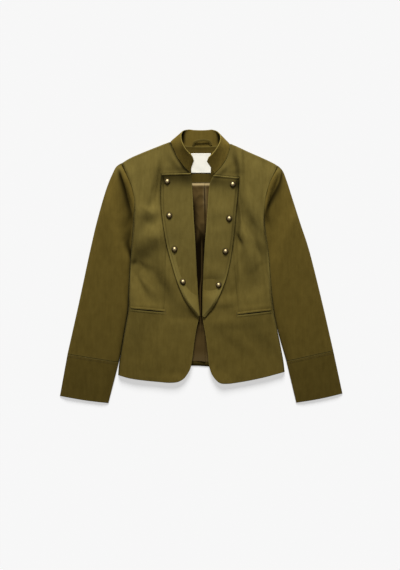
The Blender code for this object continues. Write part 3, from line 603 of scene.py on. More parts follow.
class Finish:
    """A new material with its node tree, and short ways to add nodes to it."""

    def __init__(self, name):
        self.material = bpy.data.materials.new(name)
        self.material.use_nodes = True
        self.tree = self.material.node_tree
        self.shader = self.tree.nodes["Principled BSDF"]

    def node(self, kind, **values):
        """A node of this kind, with attributes set by name and inputs by their label with _ for a space."""
        made = self.tree.nodes.new(kind)
        for key, value in values.items():
            if hasattr(made, key):
                setattr(made, key, value)
            else:
                made.inputs[key.replace("_", " ")].default_value = value
        return made

    def link(self, out, to):
        self.tree.links.new(out, to)

    def place(self, turn=0.0, stretch=(1, 1, 1)):
        """Object coordinates, turned about z by an angle in degrees and stretched."""
        where = self.node("ShaderNodeTexCoord")
        mapping = self.node("ShaderNodeMapping")
        mapping.inputs["Rotation"].default_value = (0, 0, math.radians(turn))
        mapping.inputs["Scale"].default_value = stretch
        self.link(where.outputs["Object"], mapping.inputs["Vector"])
        return mapping.outputs["Vector"]

    def noise(self, place, per_metre, detail=3.0):
        made = self.node("ShaderNodeTexNoise", Scale=per_metre, Detail=detail, Roughness=0.6)
        self.link(place, made.inputs["Vector"])
        return made.outputs["Fac"]

    def ribs(self, place, width, wobble):
        """Parallel ribs of a width in metres."""
        scale = 2 * math.pi / (20 * width)
        made = self.node("ShaderNodeTexWave", Scale=scale, Distortion=wobble, Detail=2.0)
        made.inputs["Detail Scale"].default_value = 1.5
        self.link(place, made.inputs["Vector"])
        return made.outputs["Fac"]

    def remap(self, value, low, high, start=0.0, end=1.0):
        """A value that runs from low to high as the given one runs from start to end."""
        made = self.node("ShaderNodeMapRange")
        made.inputs["From Min"].default_value = start
        made.inputs["From Max"].default_value = end
        made.inputs["To Min"].default_value = low
        made.inputs["To Max"].default_value = high
        self.link(value, made.inputs["Value"])
        return made.outputs["Result"]

    def blend(self, factor, first, second, blend_type="MIX"):
        """Two colours mixed by a factor. Each colour is a socket or a tuple."""
        made = self.node("ShaderNodeMix", data_type="RGBA", blend_type=blend_type)
        for value, place in ((factor, 0), (first, 6), (second, 7)):
            socket = made.inputs[place]
            if isinstance(value, (tuple, float)):
                socket.default_value = value
            else:
                self.link(value, socket)
        return made.outputs[2]

    def add(self, first, second, share):
        """first plus a share of second."""
        made = self.node("ShaderNodeMath", operation="MULTIPLY_ADD")
        made.inputs[1].default_value = share
        self.link(second, made.inputs[0])
        self.link(first, made.inputs[2])
        return made.outputs[0]

    def bump(self, height, depth, strength):
        made = self.node("ShaderNodeBump", Strength=strength, Distance=depth)
        self.link(height, made.inputs["Height"])
        self.link(made.outputs["Normal"], self.shader.inputs["Normal"])

    def attribute(self, name):
        return self.node("ShaderNodeAttribute", attribute_name=name).outputs["Fac"]


print("shader helpers are ready")

# %% Olive cotton twill
OLIVE = (110, 97, 52)
# painted shade: a darker, less grey copy of the olive, as the cloth looks where less light reaches it;
# sleeves, cuffs, collar and inside take it
OLIVE_SLEEVE = (107, 91, 44)
OLIVE_LOW = (107, 92, 46)                  # painted light: away from the lamp the cloth is painted less grey, towards the hem
# paler olive for wear and painted highlight
OLIVE_WEAR_AND_HIGHLIGHT = (130, 117, 65)
OLIVE_SHEEN = (0.80, 0.74, 0.42, 1.0)
MOTTLE = (0.88, 0.87, 0.84, 1.0)           # what the dimmer spots multiply the dye by
TWILL_RIB = 0.0009
TWILL_SLANT = 62.0                         # degrees between the ribs and the panel's length
THREADS_PER_METRE, DYE_PER_METRE, MOTTLE_PER_METRE = 2600.0, 180.0, 75.0
# the last is how dark painted shade makes the cloth, as a share of its colour
WEAVE_DARK, WEAVE_LIGHT, DYE_DARK, PAINTED_SHADE_DARK = 0.78, 1.18, 0.80, 0.1
WEAR_AND_HIGHLIGHT_SHARE = 0.55                          # how much of the paler colour of wear and painted highlight an edge takes
WEAVE_DEPTH = 0.00012


def twill(name, tone=1.0, grain=0.0, colour=OLIVE):
    """Twill whose panel is turned by a grain angle in degrees. A tone above 1 paints light into its colour,
    one below 1 paints shade.
    """
    cloth = Finish(name)
    slanted = cloth.place(grain + TWILL_SLANT)
    along = cloth.place(grain, (1.0, 0.25, 1.0))
    ribs = cloth.ribs(slanted, TWILL_RIB, 1.2)
    threads = cloth.noise(along, THREADS_PER_METRE, 2.0)
    dye = cloth.noise(cloth.place(grain, (1.0, 0.12, 1.0)), DYE_PER_METRE, 5.0)
    weave = cloth.add(cloth.remap(ribs, 0.0, 0.6), threads, 0.55)
    shade = cloth.blend(weave, linear(colour, WEAVE_DARK * tone), linear(colour, WEAVE_LIGHT * tone))
    shade = cloth.blend(cloth.remap(dye, -0.4, 1.4), shade, linear(colour, DYE_DARK * tone))
    mottle = cloth.noise(cloth.place(grain, (1.0, 0.6, 1.0)), MOTTLE_PER_METRE, 3.0)
    mottle = cloth.remap(mottle, 0.0, 1.0, 0.35, 0.65)
    shade = cloth.blend(mottle, shade, cloth.blend(1.0, shade, MOTTLE, "MULTIPLY"))
    # painted light: the body cloth turns less grey from y 0.08 m down to -0.24 m, as it looks further from
    # the lamp
    if colour == OLIVE:
        height = cloth.node("ShaderNodeSeparateXYZ")
        cloth.link(cloth.place(), height.inputs["Vector"])
        low = cloth.remap(height.outputs["Y"], 0.0, 1.0, 0.08, -0.24)
        tint = tuple(a / b for a, b in zip(linear(OLIVE_LOW), linear(OLIVE)))
        shade = cloth.blend(low, shade, cloth.blend(1.0, shade, tint, "MULTIPLY"))
    # paler where the mesh asks, for wear and painted highlight
    paler_share = cloth.remap(cloth.attribute("edge"), 0.0, WEAR_AND_HIGHLIGHT_SHARE)
    shade = cloth.blend(paler_share, shade, linear(OLIVE_WEAR_AND_HIGHLIGHT, tone))
    # painted shade darkens the cloth where the mesh asks for it
    shade = cloth.blend(cloth.attribute("hollow"), shade, linear(colour, PAINTED_SHADE_DARK))
    cloth.link(shade, cloth.shader.inputs["Base Color"])
    cloth.link(cloth.remap(threads, 0.72, 0.92), cloth.shader.inputs["Roughness"])
    cloth.bump(weave, WEAVE_DEPTH, 0.5)
    cloth.shader.inputs["Specular IOR Level"].default_value = 0.01
    cloth.shader.inputs["Sheen Weight"].default_value = 0.03
    cloth.shader.inputs["Sheen Roughness"].default_value = 0.45
    cloth.shader.inputs["Sheen Tint"].default_value = OLIVE_SHEEN
    return cloth.material


SLEEVE_GRAIN = {"right": -12.0, "left": 13.0}
BODY_CLOTH = twill("olive_twill")
# painted shade: the facing, hem turn-up and hanger loop take the olive at about half its lightness, for the
# shade they lie in
INSIDE_CLOTH = twill("olive_twill_inside", 0.52, 0.0, OLIVE_SLEEVE)
# painted light: the collar takes the olive at 1.75 times its lightness, and painted shade darkens it where
# it looks dim
COLLAR_CLOTH = twill("olive_twill_collar", 1.75, 0.0, OLIVE_SLEEVE)
# painted shade: the sleeves, and the cuffs more, are darker copies of the olive, as they look in this light
SLEEVE_CLOTH = {side: twill(f"olive_twill_{side}_sleeve", 0.88, grain, OLIVE_SLEEVE)
                for side, grain in SLEEVE_GRAIN.items()}
CUFF_CLOTH = {side: twill(f"olive_twill_{side}_cuff", 0.76, grain, OLIVE_SLEEVE)
              for side, grain in SLEEVE_GRAIN.items()}
print("twill finishes:", BODY_CLOTH.name, INSIDE_CLOTH.name, *[m.name for m in SLEEVE_CLOTH.values()])

# %% Satin lining, bare label and sewing thread
LINING_BROWN = (85, 69, 41)
LINING_PALE = (158, 138, 98)               # where the satin is rolled over at the top and catches the light
LABEL_WHITE = (236, 233, 220)
# painted shade: the near-black of the pocket's inside
POCKET_SHADE_COLOUR = (16, 13, 6)
# painted shade: the olive thread is darker than the cloth, for the shade of the groove it lies in
THREAD_OLIVE, THREAD_WHITE = (84, 70, 27), (226, 222, 208)


def satin(name, colour, rib, roughness, gloss=0.3):
    """A smooth woven ribbon or lining with fine cross threads."""
    cloth = Finish(name)
    ribs = cloth.ribs(cloth.place(90.0), rib, 0.6)
    dye = cloth.noise(cloth.place(0.0, (1.0, 0.35, 1.0)), 60.0, 4.0)
    shade = cloth.blend(ribs, linear(colour, 0.88), linear(colour, 1.06))
    shade = cloth.blend(cloth.remap(dye, 0.0, 0.8), shade, linear(colour, 0.80))
    # painted highlight: where the mesh asks, the satin turns to its pale colour
    shade = cloth.blend(cloth.attribute("edge"), shade, linear(LINING_PALE))
    # painted shade darkens the satin to 4% of its colour where the mesh asks for it
    shade = cloth.blend(cloth.attribute("hollow"), shade, linear(colour, 0.04))
    cloth.link(shade, cloth.shader.inputs["Base Color"])
    cloth.link(cloth.remap(dye, roughness - 0.06, roughness + 0.1), cloth.shader.inputs["Roughness"])
    cloth.bump(ribs, 0.00005, 0.35)
    cloth.shader.inputs["Specular IOR Level"].default_value = gloss
    cloth.shader.inputs["Specular Tint"].default_value = (1.0, 0.86, 0.62, 1.0)
    return cloth.material


LINING_CLOTH = satin("brown_satin_lining", LINING_BROWN, 0.0005, 0.6, 0.01)
LABEL_CLOTH = satin("white_woven_label", LABEL_WHITE, 0.0006, 0.5)
POCKET_SHADE_FINISH = satin("dark_pocket_cloth", POCKET_SHADE_COLOUR, 0.0006, 0.8)


def thread(name, colour):
    cord = Finish(name)
    twist = cord.ribs(cord.place(35.0), 0.0005, 0.5)
    cord.link(cord.blend(twist, linear(colour, 0.7), linear(colour, 1.1)), cord.shader.inputs["Base Color"])
    cord.shader.inputs["Roughness"].default_value = 0.62
    cord.bump(twist, 0.00005, 0.4)
    return cord.material


OLIVE_THREAD = thread("olive_thread", THREAD_OLIVE)
WHITE_THREAD = thread("white_thread", THREAD_WHITE)
print("lining, label and thread finishes are ready")

# %% Antique brass
BRASS_BRIGHT = (192, 172, 128)
BRASS_DARK = (52, 42, 26)


def antique_brass(name):
    """Brass with a dark patina, rubbed bright where the button is handled. At the brim the dark is patina
    and painted shade.
    """
    metal = Finish(name)
    blotch = metal.noise(metal.place(), 420.0, 4.0)
    patina = metal.add(metal.attribute("patina"), metal.remap(blotch, -0.5, 0.5), 0.55)
    shade = metal.blend(patina, linear(BRASS_BRIGHT), linear(BRASS_DARK))
    metal.link(shade, metal.shader.inputs["Base Color"])
    metal.link(metal.remap(blotch, 0.42, 0.6), metal.shader.inputs["Roughness"])
    metal.bump(blotch, 0.00008, 0.35)
    metal.shader.inputs["Metallic"].default_value = 1.0
    return metal.material


BRASS = antique_brass("antique_brass")
print("button finish:", BRASS.name)

# %% [markdown]
# ## A cloth wall
# A sheet with only one side would vanish at its edges. Each panel gets an upper and a lower skin, joined
# by a rim, and its upper skin rounds over at the edge, as cloth does where it is turned under and
# pressed. Solidify could thicken the sheet, but two skins from two heights keep exact gaps to what lies
# above and below.

# %% Grids that crowd at their edges, and turned edges
EDGE_RINGS = np.array([0.0, 0.4, 1.0, 1.9, 3.1])       # mm in from a turned edge
GRID_INSET = 4.6                                        # where the even part of a grid starts
EDGE_RADIUS = 1.25
# how far in from an edge the paler colour of wear and painted highlight reaches
WEAR_AND_HIGHLIGHT_WIDTH = 2.6


def graded(count, length):
    """Fractions from 0 to 1 over a length in mm, with a few extra lines near both ends."""
    rings = EDGE_RINGS / length
    inner = np.linspace(GRID_INSET / length, 1 - GRID_INSET / length, count)
    return np.concatenate([rings, inner, 1 - rings[::-1]])


def inset(down, across, height, width):
    """About how far in mm each point of a graded grid is from the grid's nearest edge."""
    from_ends = np.minimum(down, 1 - down)[:, None] * height
    from_sides = np.minimum(across, 1 - across)[None, :] * width
    return np.minimum(from_ends, from_sides)


def turned_edge(distance, radius=EDGE_RADIUS):
    """How far a turned edge has dropped at this distance from it."""
    t = np.clip(1 - distance / radius, 0, 1)
    return radius * (1 - np.sqrt(1 - t * t))


def patch(top, bottom, first, last, across, down):
    """A grid that fills four edge curves: rows run from the first edge to the last."""
    u = across[None, :, None]
    v = down[:, None, None]
    corners = ((1 - u) * (1 - v) * top[0] + u * (1 - v) * top[-1]
               + (1 - u) * v * bottom[0] + u * v * bottom[-1])
    return (1 - u) * first[:, None] + u * last[:, None] + (1 - v) * top[None] + v * bottom[None] - corners


def between(top, bottom, down):
    """A grid of straight columns from one curve to another."""
    v = down[:, None, None]
    return (1 - v) * top[None] + v * bottom[None]


print("a 100 mm strip of 10 columns has its lines at, mm:", (100 * graded(10, 100)).round(1))


# %% From two skins to a piece


def add_piece(name, points, faces, finish, attributes=None):
    """A smooth-shaded mesh object at the origin, from points in mm, with its point attributes."""
    mesh = bpy.data.meshes.new(name)
    mesh.from_pydata((np.asarray(points, float) * MM).tolist(), [], faces)
    mesh.shade_smooth()
    mesh.set_sharp_from_angle(angle=math.radians(60))
    mesh.materials.append(finish)
    for key, values in (attributes or {}).items():
        layer = mesh.attributes.new(key, "FLOAT", "POINT")
        layer.data.foreach_set("value", np.asarray(values, np.float32).ravel())
    piece = bpy.data.objects.new(name, mesh)
    bpy.context.scene.collection.objects.link(piece)
    return piece


def sheet_faces(rows, columns):
    """Faces of a wall whose upper grid comes first and whose lower grid follows."""
    at = np.arange(2 * rows * columns).reshape(2, rows, columns)
    a, b, c, d = at[0, :-1, :-1], at[0, 1:, :-1], at[0, 1:, 1:], at[0, :-1, 1:]
    upper = np.stack([a, b, c, d], axis=-1).reshape(-1, 4)
    lower = upper[:, ::-1] + rows * columns
    rim = np.concatenate([at[0, 0], at[0, 1:, -1], at[0, -1, -2::-1], at[0, -2:0:-1, 0]])
    after = np.roll(rim, -1)
    sides = np.stack([rim, after, after + rows * columns, rim + rows * columns], axis=-1)
    return np.concatenate([upper, lower, sides]).tolist()


def cloth_wall(name, grid, under, top, edge_distance, finish, hollow=None):
    """A panel over a flat grid, between two arrays of heights. Painted shade, from 0 to 1, darkens its
    colour.
    """
    across, down = grid[0, -1] - grid[0, 0], grid[-1, 0] - grid[0, 0]
    turned = across[0] * down[1] - across[1] * down[0] > 0
    upper, lower = (np.concatenate([grid, z[..., None]], axis=2) for z in (top, under))
    wear_and_highlight = np.clip(1 - edge_distance / WEAR_AND_HIGHLIGHT_WIDTH, 0, 1)
    shade = np.zeros(top.shape) if hollow is None else np.clip(hollow, 0, 1)
    if turned:
        upper, lower, wear_and_highlight, shade = (layer[:, ::-1] for layer in (upper, lower, wear_and_highlight, shade))
    points = np.concatenate([upper.reshape(-1, 3), lower.reshape(-1, 3)])
    spots = {"edge": np.append(wear_and_highlight, 0 * wear_and_highlight), "hollow": np.append(shade, 0 * shade)}
    return add_piece(name, points, sheet_faces(*grid.shape[:2]), finish, spots)


PIECES = {}


def declare(piece, slot, *nodes):
    """The piece rides with the jacket and stands for these solids. Its slot is not used."""
    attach(piece, "root")
    if nodes:
        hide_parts(*nodes)
    PIECES[piece.name] = piece
    print(f"{piece.name}: {len(piece.data.polygons)} faces")
    return piece


print("faces of a wall of 3 by 3 points:", len(sheet_faces(3, 3)))


# %% [markdown]
# ## Back, facing and lining
# The back lies flat on the table with its outside down, so only its edges and its seams underneath are
# ever seen. On it lie the neck facing, the turned-up hem and the satin lining, which has a pleat of spare
# cloth down the centre.

# %% The back, with a seam down its middle and two shaping seams
FLAT_EDGE = 0.8                             # how far a pressed edge rounds over
BACK_SPAN = (560, 380)                      # about its length and width, as in the spans below
BACK_SEAMS = [[(-2, 296), (0, 60), (-1, -247)], [(-120, 200), (-84, 40), (-104, -258)],
              [(112, 200), (82, 40), (104, -257)]]
BACK_GROOVE, BACK_GROOVE_HALF = 0.5, 1.8


def make_back():
    right, left = LINES["right"], LINES["left"]
    neck = smooth_curve(BACK_NECK, even(40))
    down, across = graded(120, BACK_SPAN[0]), graded(110, BACK_SPAN[1])
    top = smooth_curve(chain(right["shoulder"], neck, left["shoulder"][::-1])[::3], across)
    first, last = smooth_curve(right["flank"], down), smooth_curve(left["flank"], down)
    grid = patch(top, smooth_curve(BACK_HEM, across), first, last, across, down)
    distance = inset(down, across, *BACK_SPAN)
    lines = [smooth_curve(seam, even(30)) for seam in BACK_SEAMS]
    seams = sum(bell(distance_to(line, grid), BACK_GROOVE_HALF) for line in lines)
    under = np.clip(BACK_GROOVE * seams + turned_edge(distance, FLAT_EDGE), 0, FLAT_EDGE)
    top = np.full(under.shape, BACK_WALL)
    piece = cloth_wall("back_panel", grid, under, top, distance, BODY_CLOTH)
    return declare(piece, "olive_twill", "back")


make_back()

# %% Neck facing and hem turn-up
FACING_SPAN = (92, 118)
FACING_EDGES = {
    "neck": [(-62, 304), (-40, 300.5), (-2, 298.6), (37, 300), (62, 303)],
    "bottom": [(-54, 209), (0, 208.8), (54, 209)],
    "right": [(-62, 304), (-60, 268), (-54, 209)],
    "left": [(62, 303), (60, 268), (54, 209)],
}
FACING_GAP, FACING_RIPPLE = 0.15, 0.15
NECK_RIDGE, NECK_RIDGE_HALF = 0.7, 5        # the facing rises over the neck seam
INSIDE_SHARE = 0.75                         # turn-up and lining stop short of the side seams
HEM_TURN_UP, TURN_UP_WIDTH, TURN_UP_EDGE = 10.0, 310, 0.9
TURN_UP_START, TURN_UP_PALER_EDGE_SHIFT = 1.0, 2.0    # how far it is from the hem, and how much less its edge takes the paler colour of wear and highlight
TURN_UP_SHADE, TURN_UP_FOLD_SHADE = 0.15, 0.7


def make_facing():
    down, across = graded(30, FACING_SPAN[0]), graded(40, FACING_SPAN[1])
    neck, bottom = (smooth_curve(FACING_EDGES[name], across) for name in ("neck", "bottom"))
    right, left = (smooth_curve(FACING_EDGES[name], down) for name in ("right", "left"))
    grid = patch(neck, bottom, right, left, across, down)
    distance = inset(down, across, *FACING_SPAN)
    over_seam = NECK_RIDGE * bell(down * FACING_SPAN[0], NECK_RIDGE_HALF)[:, None]
    under = REST_Z + FACING_GAP + FACING_RIPPLE * ripple(grid, 40, 3) + over_seam
    top = under + FACING_WALL - turned_edge(distance, FLAT_EDGE)
    piece = cloth_wall("neck_facing", grid, under, top, distance, INSIDE_CLOTH)
    return declare(piece, "olive_facing", "back_neck_facing")


def make_turn_up():
    down, across = graded(4, HEM_TURN_UP), graded(90, TURN_UP_WIDTH)
    low = smooth_curve([(INSIDE_SHARE * x, y + TURN_UP_START) for x, y in BACK_HEM], across)
    grid = between(low + (0, HEM_TURN_UP), low, down)
    distance = inset(down, across, HEM_TURN_UP, TURN_UP_WIDTH)
    under = np.full(distance.shape, REST_Z)
    top = under + FACING_WALL - turned_edge(distance, TURN_UP_EDGE)
    shade = TURN_UP_SHADE + TURN_UP_FOLD_SHADE * eased(down, 0.35, 0.7)[:, None]
    shade = np.broadcast_to(shade, distance.shape)
    piece = cloth_wall("hem_turn_up", grid, under, top, distance + TURN_UP_PALER_EDGE_SHIFT, INSIDE_CLOTH, shade)
    return declare(piece, "olive_facing", "back_hem_turn_up")


make_facing()
make_turn_up()

# %% Height of the lining, with its centre pleat
PLEAT_X, PLEAT_RISE, PLEAT_RUN, PLEAT_DROP = 8.0, 2.6, 12.0, 1.4
PLEAT_SWAY, PLEAT_SWAY_LENGTH = 1.5, 60
LINING_FOLDS = [(-13, 168, -6, 179, 1.0, 2.6), (-8, 179, 6, 178, 1.0, 2.6), (5, 179, 10, 165, 1.0, 2.6),
                (9, 158, -4, 152, 0.9, 2.6), (-16, 142, -6, 127, 0.9, 3), (-14, 107, 9, 74, 1.1, 2.6),
                (-3, 109, 11, 105, 0.9, 2.4), (-16, 198, -8, 188, 0.8, 4), (-10, 92, 0, 62, -0.8, 3),
                (-12, -150, 14, -158, 0.6, 6), (-6, -190, -8, -236, 0.6, 5), (8, -170, 6, -236, 0.5, 5)]
LINING_FOLD_STRENGTH = 1.3
LINING_ROLL, LINING_ROLL_Y, LINING_ROLL_HALF, LINING_ROLL_REACH = 2.0, 201.5, 4.5, 45
LINING_GAP = 0.3


def from_pleat(xy):
    """How far each point is past the pleat's fold, which sways a little."""
    return xy[..., 0] - PLEAT_X - PLEAT_SWAY * np.sin(xy[..., 1] / PLEAT_SWAY_LENGTH)


def lining_under(xy):
    """The lining lies on the back, creeps up to the pleat's fold, and drops behind it."""
    x, y = from_pleat(xy), xy[..., 1]
    pleat = np.where(x < 0, bell(x, PLEAT_RUN), bell(x, PLEAT_DROP))
    creases = (0.2 + 0.3 * eased(y, 20, 150)) * ripple(xy * (1.3, 1.0), 27, 41, 12)
    creases = creases + LINING_FOLD_STRENGTH * folds_at(xy, LINING_FOLDS)
    roll = bell(y - LINING_ROLL_Y, LINING_ROLL_HALF) * bell(xy[..., 0], LINING_ROLL_REACH)
    creases = creases + LINING_ROLL * roll
    return REST_Z + np.maximum(PLEAT_RISE * pleat + creases + LINING_GAP, 0)


print("lining's underside at its pleat and beside it, mm:",
      lining_under(np.array([(PLEAT_X, 0.0), (PLEAT_X + 20, 0.0)])).round(1))

# %% The lining
LINING_SPAN = (450, 270)
LINING_TOP, LINING_TOP_HALF = 208.4, 112
LINING_EDGE, LINING_START = 0.7, 1.2
# shade along a line: depth, reach, and the y from and to which it comes in
RIGHT_SHADE, LEFT_SHADE = (0.9, 11.0, 185, 150), (0.6, 3.0, 60, 20)
PLEAT_SHADE = 0.9
DEEP_SHADE, DEEP_FROM, DEEP_STEP = 0.97, (112, 52), 12      # the unlit lower part starts higher on the left
PALE_LINE, PALE_LINE_MOVE, PALE_LINE_HALF = 1.5, -4.0, 1.4  # a crease that catches light in the dark part
LIT_TOP, LIT_HEM = (204, 190), (-190, -108)                 # there is no such shade near the top and the hem
TOP_EDGE_SHADE, TOP_EDGE_FROM = 0.6, (205.5, 208)
TOP_PALE_FROM = (199, 204)
HEM_PALE, HEM_PALE_FROM = 0.12, (-205, -238)
PLEAT_PALE_X, PLEAT_PALE = 9, (0.25, 4, 130, 160)


def lining_shade(grid):
    """Painted shade on the lining: beside the fronts, in its unlit lower part and behind the pleat."""
    x, y = grid[..., 0], grid[..., 1]
    to_right, to_left = (distance_to(LINES[side]["front_edge"], grid) for side in SIDES)
    shade = line_mark(to_right, y, *RIGHT_SHADE) + line_mark(to_left, y, *LEFT_SHADE)
    shade = np.maximum(shade, DEEP_SHADE * eased(y - DEEP_STEP * eased(x, -11, 0), *DEEP_FROM))
    shade = np.maximum(shade, PLEAT_SHADE * bell(from_pleat(grid), PLEAT_DROP))
    pale_line = PALE_LINE + PALE_LINE_MOVE * eased(y, -20, -60)
    shade -= line_mark(x - pale_line, y, 0.5 + 0.3 * eased(y, -30, -60), PALE_LINE_HALF, 80, 40)
    shade *= eased(y, *LIT_TOP) * eased(y, *LIT_HEM)
    return shade + TOP_EDGE_SHADE * eased(y, *TOP_EDGE_FROM)


def lining_pale(grid):
    """How pale the satin is painted: a painted highlight where its top rolls over and on the pleat, and
    paler near the hem.
    """
    x, y = grid[..., 0], grid[..., 1]
    pale = eased(y, *TOP_PALE_FROM) + HEM_PALE * eased(y, *HEM_PALE_FROM)
    return np.minimum(pale + line_mark(x - PLEAT_PALE_X, y, *PLEAT_PALE), 1)


def make_lining():
    down = graded(110, LINING_SPAN[0])
    at_pleat = 0.5 + np.linspace(-0.1, 0.1, 60)
    across = np.sort(np.concatenate([graded(60, LINING_SPAN[1]), at_pleat]))
    above_hem = HEM_TURN_UP + LINING_START
    low = smooth_curve([(INSIDE_SHARE * x, y + above_hem) for x, y in BACK_HEM], across)
    high = np.stack([LINING_TOP_HALF * (2 * across - 1), np.full(len(across), LINING_TOP)], axis=1)
    grid = between(high, low, down)
    under = lining_under(grid)
    top = under + LINING_WALL - turned_edge(inset(down, across, *LINING_SPAN), LINING_EDGE)
    # the painted highlight goes in through the paler colour of edges
    wear_and_highlight = WEAR_AND_HIGHLIGHT_WIDTH * (1 - lining_pale(grid))
    piece = cloth_wall("lining", grid, under, top, wear_and_highlight, LINING_CLOTH, lining_shade(grid))
    return declare(piece, "brown_lining", "back_lining")


make_lining()

# %% [markdown]
# ## Fronts and plastrons
# Each front is one panel with a dart from the plastron to the pocket. The plastron is a bib of doubled
# cloth that lies on the front, so it follows the front's own height, a millimetre above it, and only its
# edges show thickness.

# %% The fronts
FRONT_SPAN = (600, 160)
CENTRE_STEPS = {"neckline": 26, "front_edge": 112, "cutaway": 46}
ARMHOLE_FLAT, ARMHOLE_FLAT_REACH = 0.8, 3.0             # a sewn edge doesn't round over
# shade along seams: depth and reach
SEAM_SHADES = {"armhole": (0.15, 0.9), "shoulder": (0.4, 4.0), "dart": (0.3, 1.4)}
NECK_SHADE, NECK_SHADE_REACH = {"right": 0.85, "left": 0.25}, 4.0   # the lamp reaches under the left wing
# marks along the side, painted shade and painted highlight: depth, reach, and the y from and to which they
# come in
SIDE_SHADE = {"right": (0.9, 1.8, 20, -10), "left": (0.1, 1.8, 20, -10)}
SIDE_HIGHLIGHT = {"right": (0.3, 5.0, 60, 20), "left": (0.95, 5.0, 60, 20)}   # painted highlight on the edge beside the sleeve
SIDE_HIGHLIGHT_END = (-200, -120)
BESIDE_SHADE, BESIDE_SHADE_ABOVE, BESIDE_REACH = 0.4, 0.5, 2.2          # beside the plastron


def plastron_lines(side):
    """The plastron's sewn outline: along the top edge, then down the curved outer edge."""
    cut = OUTLINES[side]
    return chain(smooth_curve([cut["front_edge"][0], cut["plastron"][0]], even(12)),
                 smooth_curve(cut["plastron"], even(60)))


def front_shade(side, grid):
    """Painted shade on a front: beside the plastron, along its seams and in dim ovals."""
    lines, y = LINES[side], grid[..., 1]
    depth = BESIDE_SHADE + BESIDE_SHADE_ABOVE * eased(y, -20, 60)
    shade = depth * bell(distance_to(plastron_lines(side), grid), BESIDE_REACH)
    shade += ovals(grid, FRONT_SHADE[side])
    for name, (depth, reach) in SEAM_SHADES.items():
        shade += depth * bell(distance_to(lines[name], grid), reach)
    shade += line_mark(distance_to(lines["side"], grid), y, *SIDE_SHADE[side])
    return shade + NECK_SHADE[side] * bell(distance_to(lines["neckline"], grid), NECK_SHADE_REACH)


def make_front(side):
    cut, lines = OUTLINES[side], LINES[side]
    across = graded(74, FRONT_SPAN[1])
    centre = chain(*[smooth_curve(cut[line], even(count)) for line, count in CENTRE_STEPS.items()])
    share = np.concatenate([[0], np.cumsum(np.linalg.norm(np.diff(centre, axis=0), axis=1))])
    down = graded(len(centre) - 2 * len(EDGE_RINGS), FRONT_SPAN[0])
    centre = np.stack([np.interp(down * share[-1], share, centre[:, k]) for k in range(2)], axis=1)
    shoulder, hem = smooth_curve(cut["shoulder"], across), smooth_curve(cut["hem"], across)
    grid = patch(shoulder, hem, smooth_curve(lines["flank"], down), centre, across, down)
    y = grid[..., 1]
    distance = inset(down, across, *FRONT_SPAN)
    under = front_under(side, grid)
    sewn = ARMHOLE_FLAT * bell(distance_to(lines["armhole"], grid), ARMHOLE_FLAT_REACH)
    top = front_top(side, grid) - turned_edge(distance) * (1 - sewn)
    # painted highlight on the edge beside the sleeve, through the paler colour of edges
    painted_highlight = line_mark(distance_to(lines["side"], grid), y, *SIDE_HIGHLIGHT[side]) * eased(y, *SIDE_HIGHLIGHT_END)
    wear_and_highlight = np.minimum(distance, WEAR_AND_HIGHLIGHT_WIDTH * (1 - painted_highlight))
    shade = front_shade(side, grid)
    piece = cloth_wall(f"{side}_front_panel", grid, under, top, wear_and_highlight, BODY_CLOTH, shade)
    return declare(piece, "olive_twill", f"{side}_front")


for side in SIDES:
    make_front(side)

# %% Height of the plastrons, with a sewn groove inside their edges
STITCH_INSET = 5.6
PUFF_HEIGHT, PUFF_WIDTH = 0.5, 16
PLASTRON_RIPPLE, PLASTRON_RIPPLE_LENGTH = 0.2, 46
GROOVE_DEPTH, GROOVE_HALF = 0.7, 0.9
GROOVE_FROM = (-50, 60)                                 # the groove fades out towards the tip
TOP_LIFT, TOP_LIFT_RUN = 6.5, 15.0
EDGE_CURL, EDGE_CURL_RUN = 1.0, 9.0
CURL_FROM = {"right": (150, 60), "left": (10, -50)}
CURL_TO = (-95, -50)                                    # the tips lie flat


def plastron_edges(side, xy):
    """How far each point is from a plastron's top edge, and from its curved outer edge."""
    cut = OUTLINES[side]
    top = np.array([cut["front_edge"][0], cut["plastron"][0]], float)
    return distance_to(top, xy), distance_to(smooth_curve(cut["plastron"], even(60)), xy)


def plastron_lift(side, xy):
    """The stiff edges of a plastron stand a little off the chest."""
    y = xy[..., 1]
    to_top, to_outer = plastron_edges(side, xy)
    curl = EDGE_CURL * np.exp(-to_outer / EDGE_CURL_RUN) * eased(y, *CURL_FROM[side]) * eased(y, *CURL_TO)
    return TOP_LIFT * np.exp(-to_top / TOP_LIFT_RUN) + curl


def plastron_skin(side, xy):
    """Height of the plastron's face, before its edges turn."""
    to_edge = distance_to(plastron_lines(side), xy)
    puff = PUFF_HEIGHT * rolled(to_edge, PUFF_WIDTH)
    puff = puff + PLASTRON_RIPPLE * ripple(xy, PLASTRON_RIPPLE_LENGTH, RIPPLE_SEEDS[side] + 7)
    puff = puff + leaning(xy, PLASTRON_PATCHES[side]) * rolled(to_edge, LEAN_FADE["plastron"])
    puff = puff + plastron_lift(side, xy)
    groove = line_mark(to_edge - STITCH_INSET, xy[..., 1], GROOVE_DEPTH, GROOVE_HALF, *GROOVE_FROM)
    return front_top(side, xy) + PLASTRON_LIFT + PLASTRON_WALL + puff - groove


print("right plastron's face at its second button, mm:",
      plastron_skin("right", np.array(OUTLINES["right"]["buttons"][1:2], float)).round(1))

# %% The plastrons
PLASTRON_SPAN = (350, 70)
BUTTON_RADIUS, BUTTON_HEIGHT = 7.3, 5.8
PLASTRON_EDGE = 1.5
TIP_FLAT, TIP_FLAT_FROM = 0.8, (40, -40)                # near the tip the edges round over less
UNDER_LIFT = 0.9                                        # the share of the lift that the underside follows
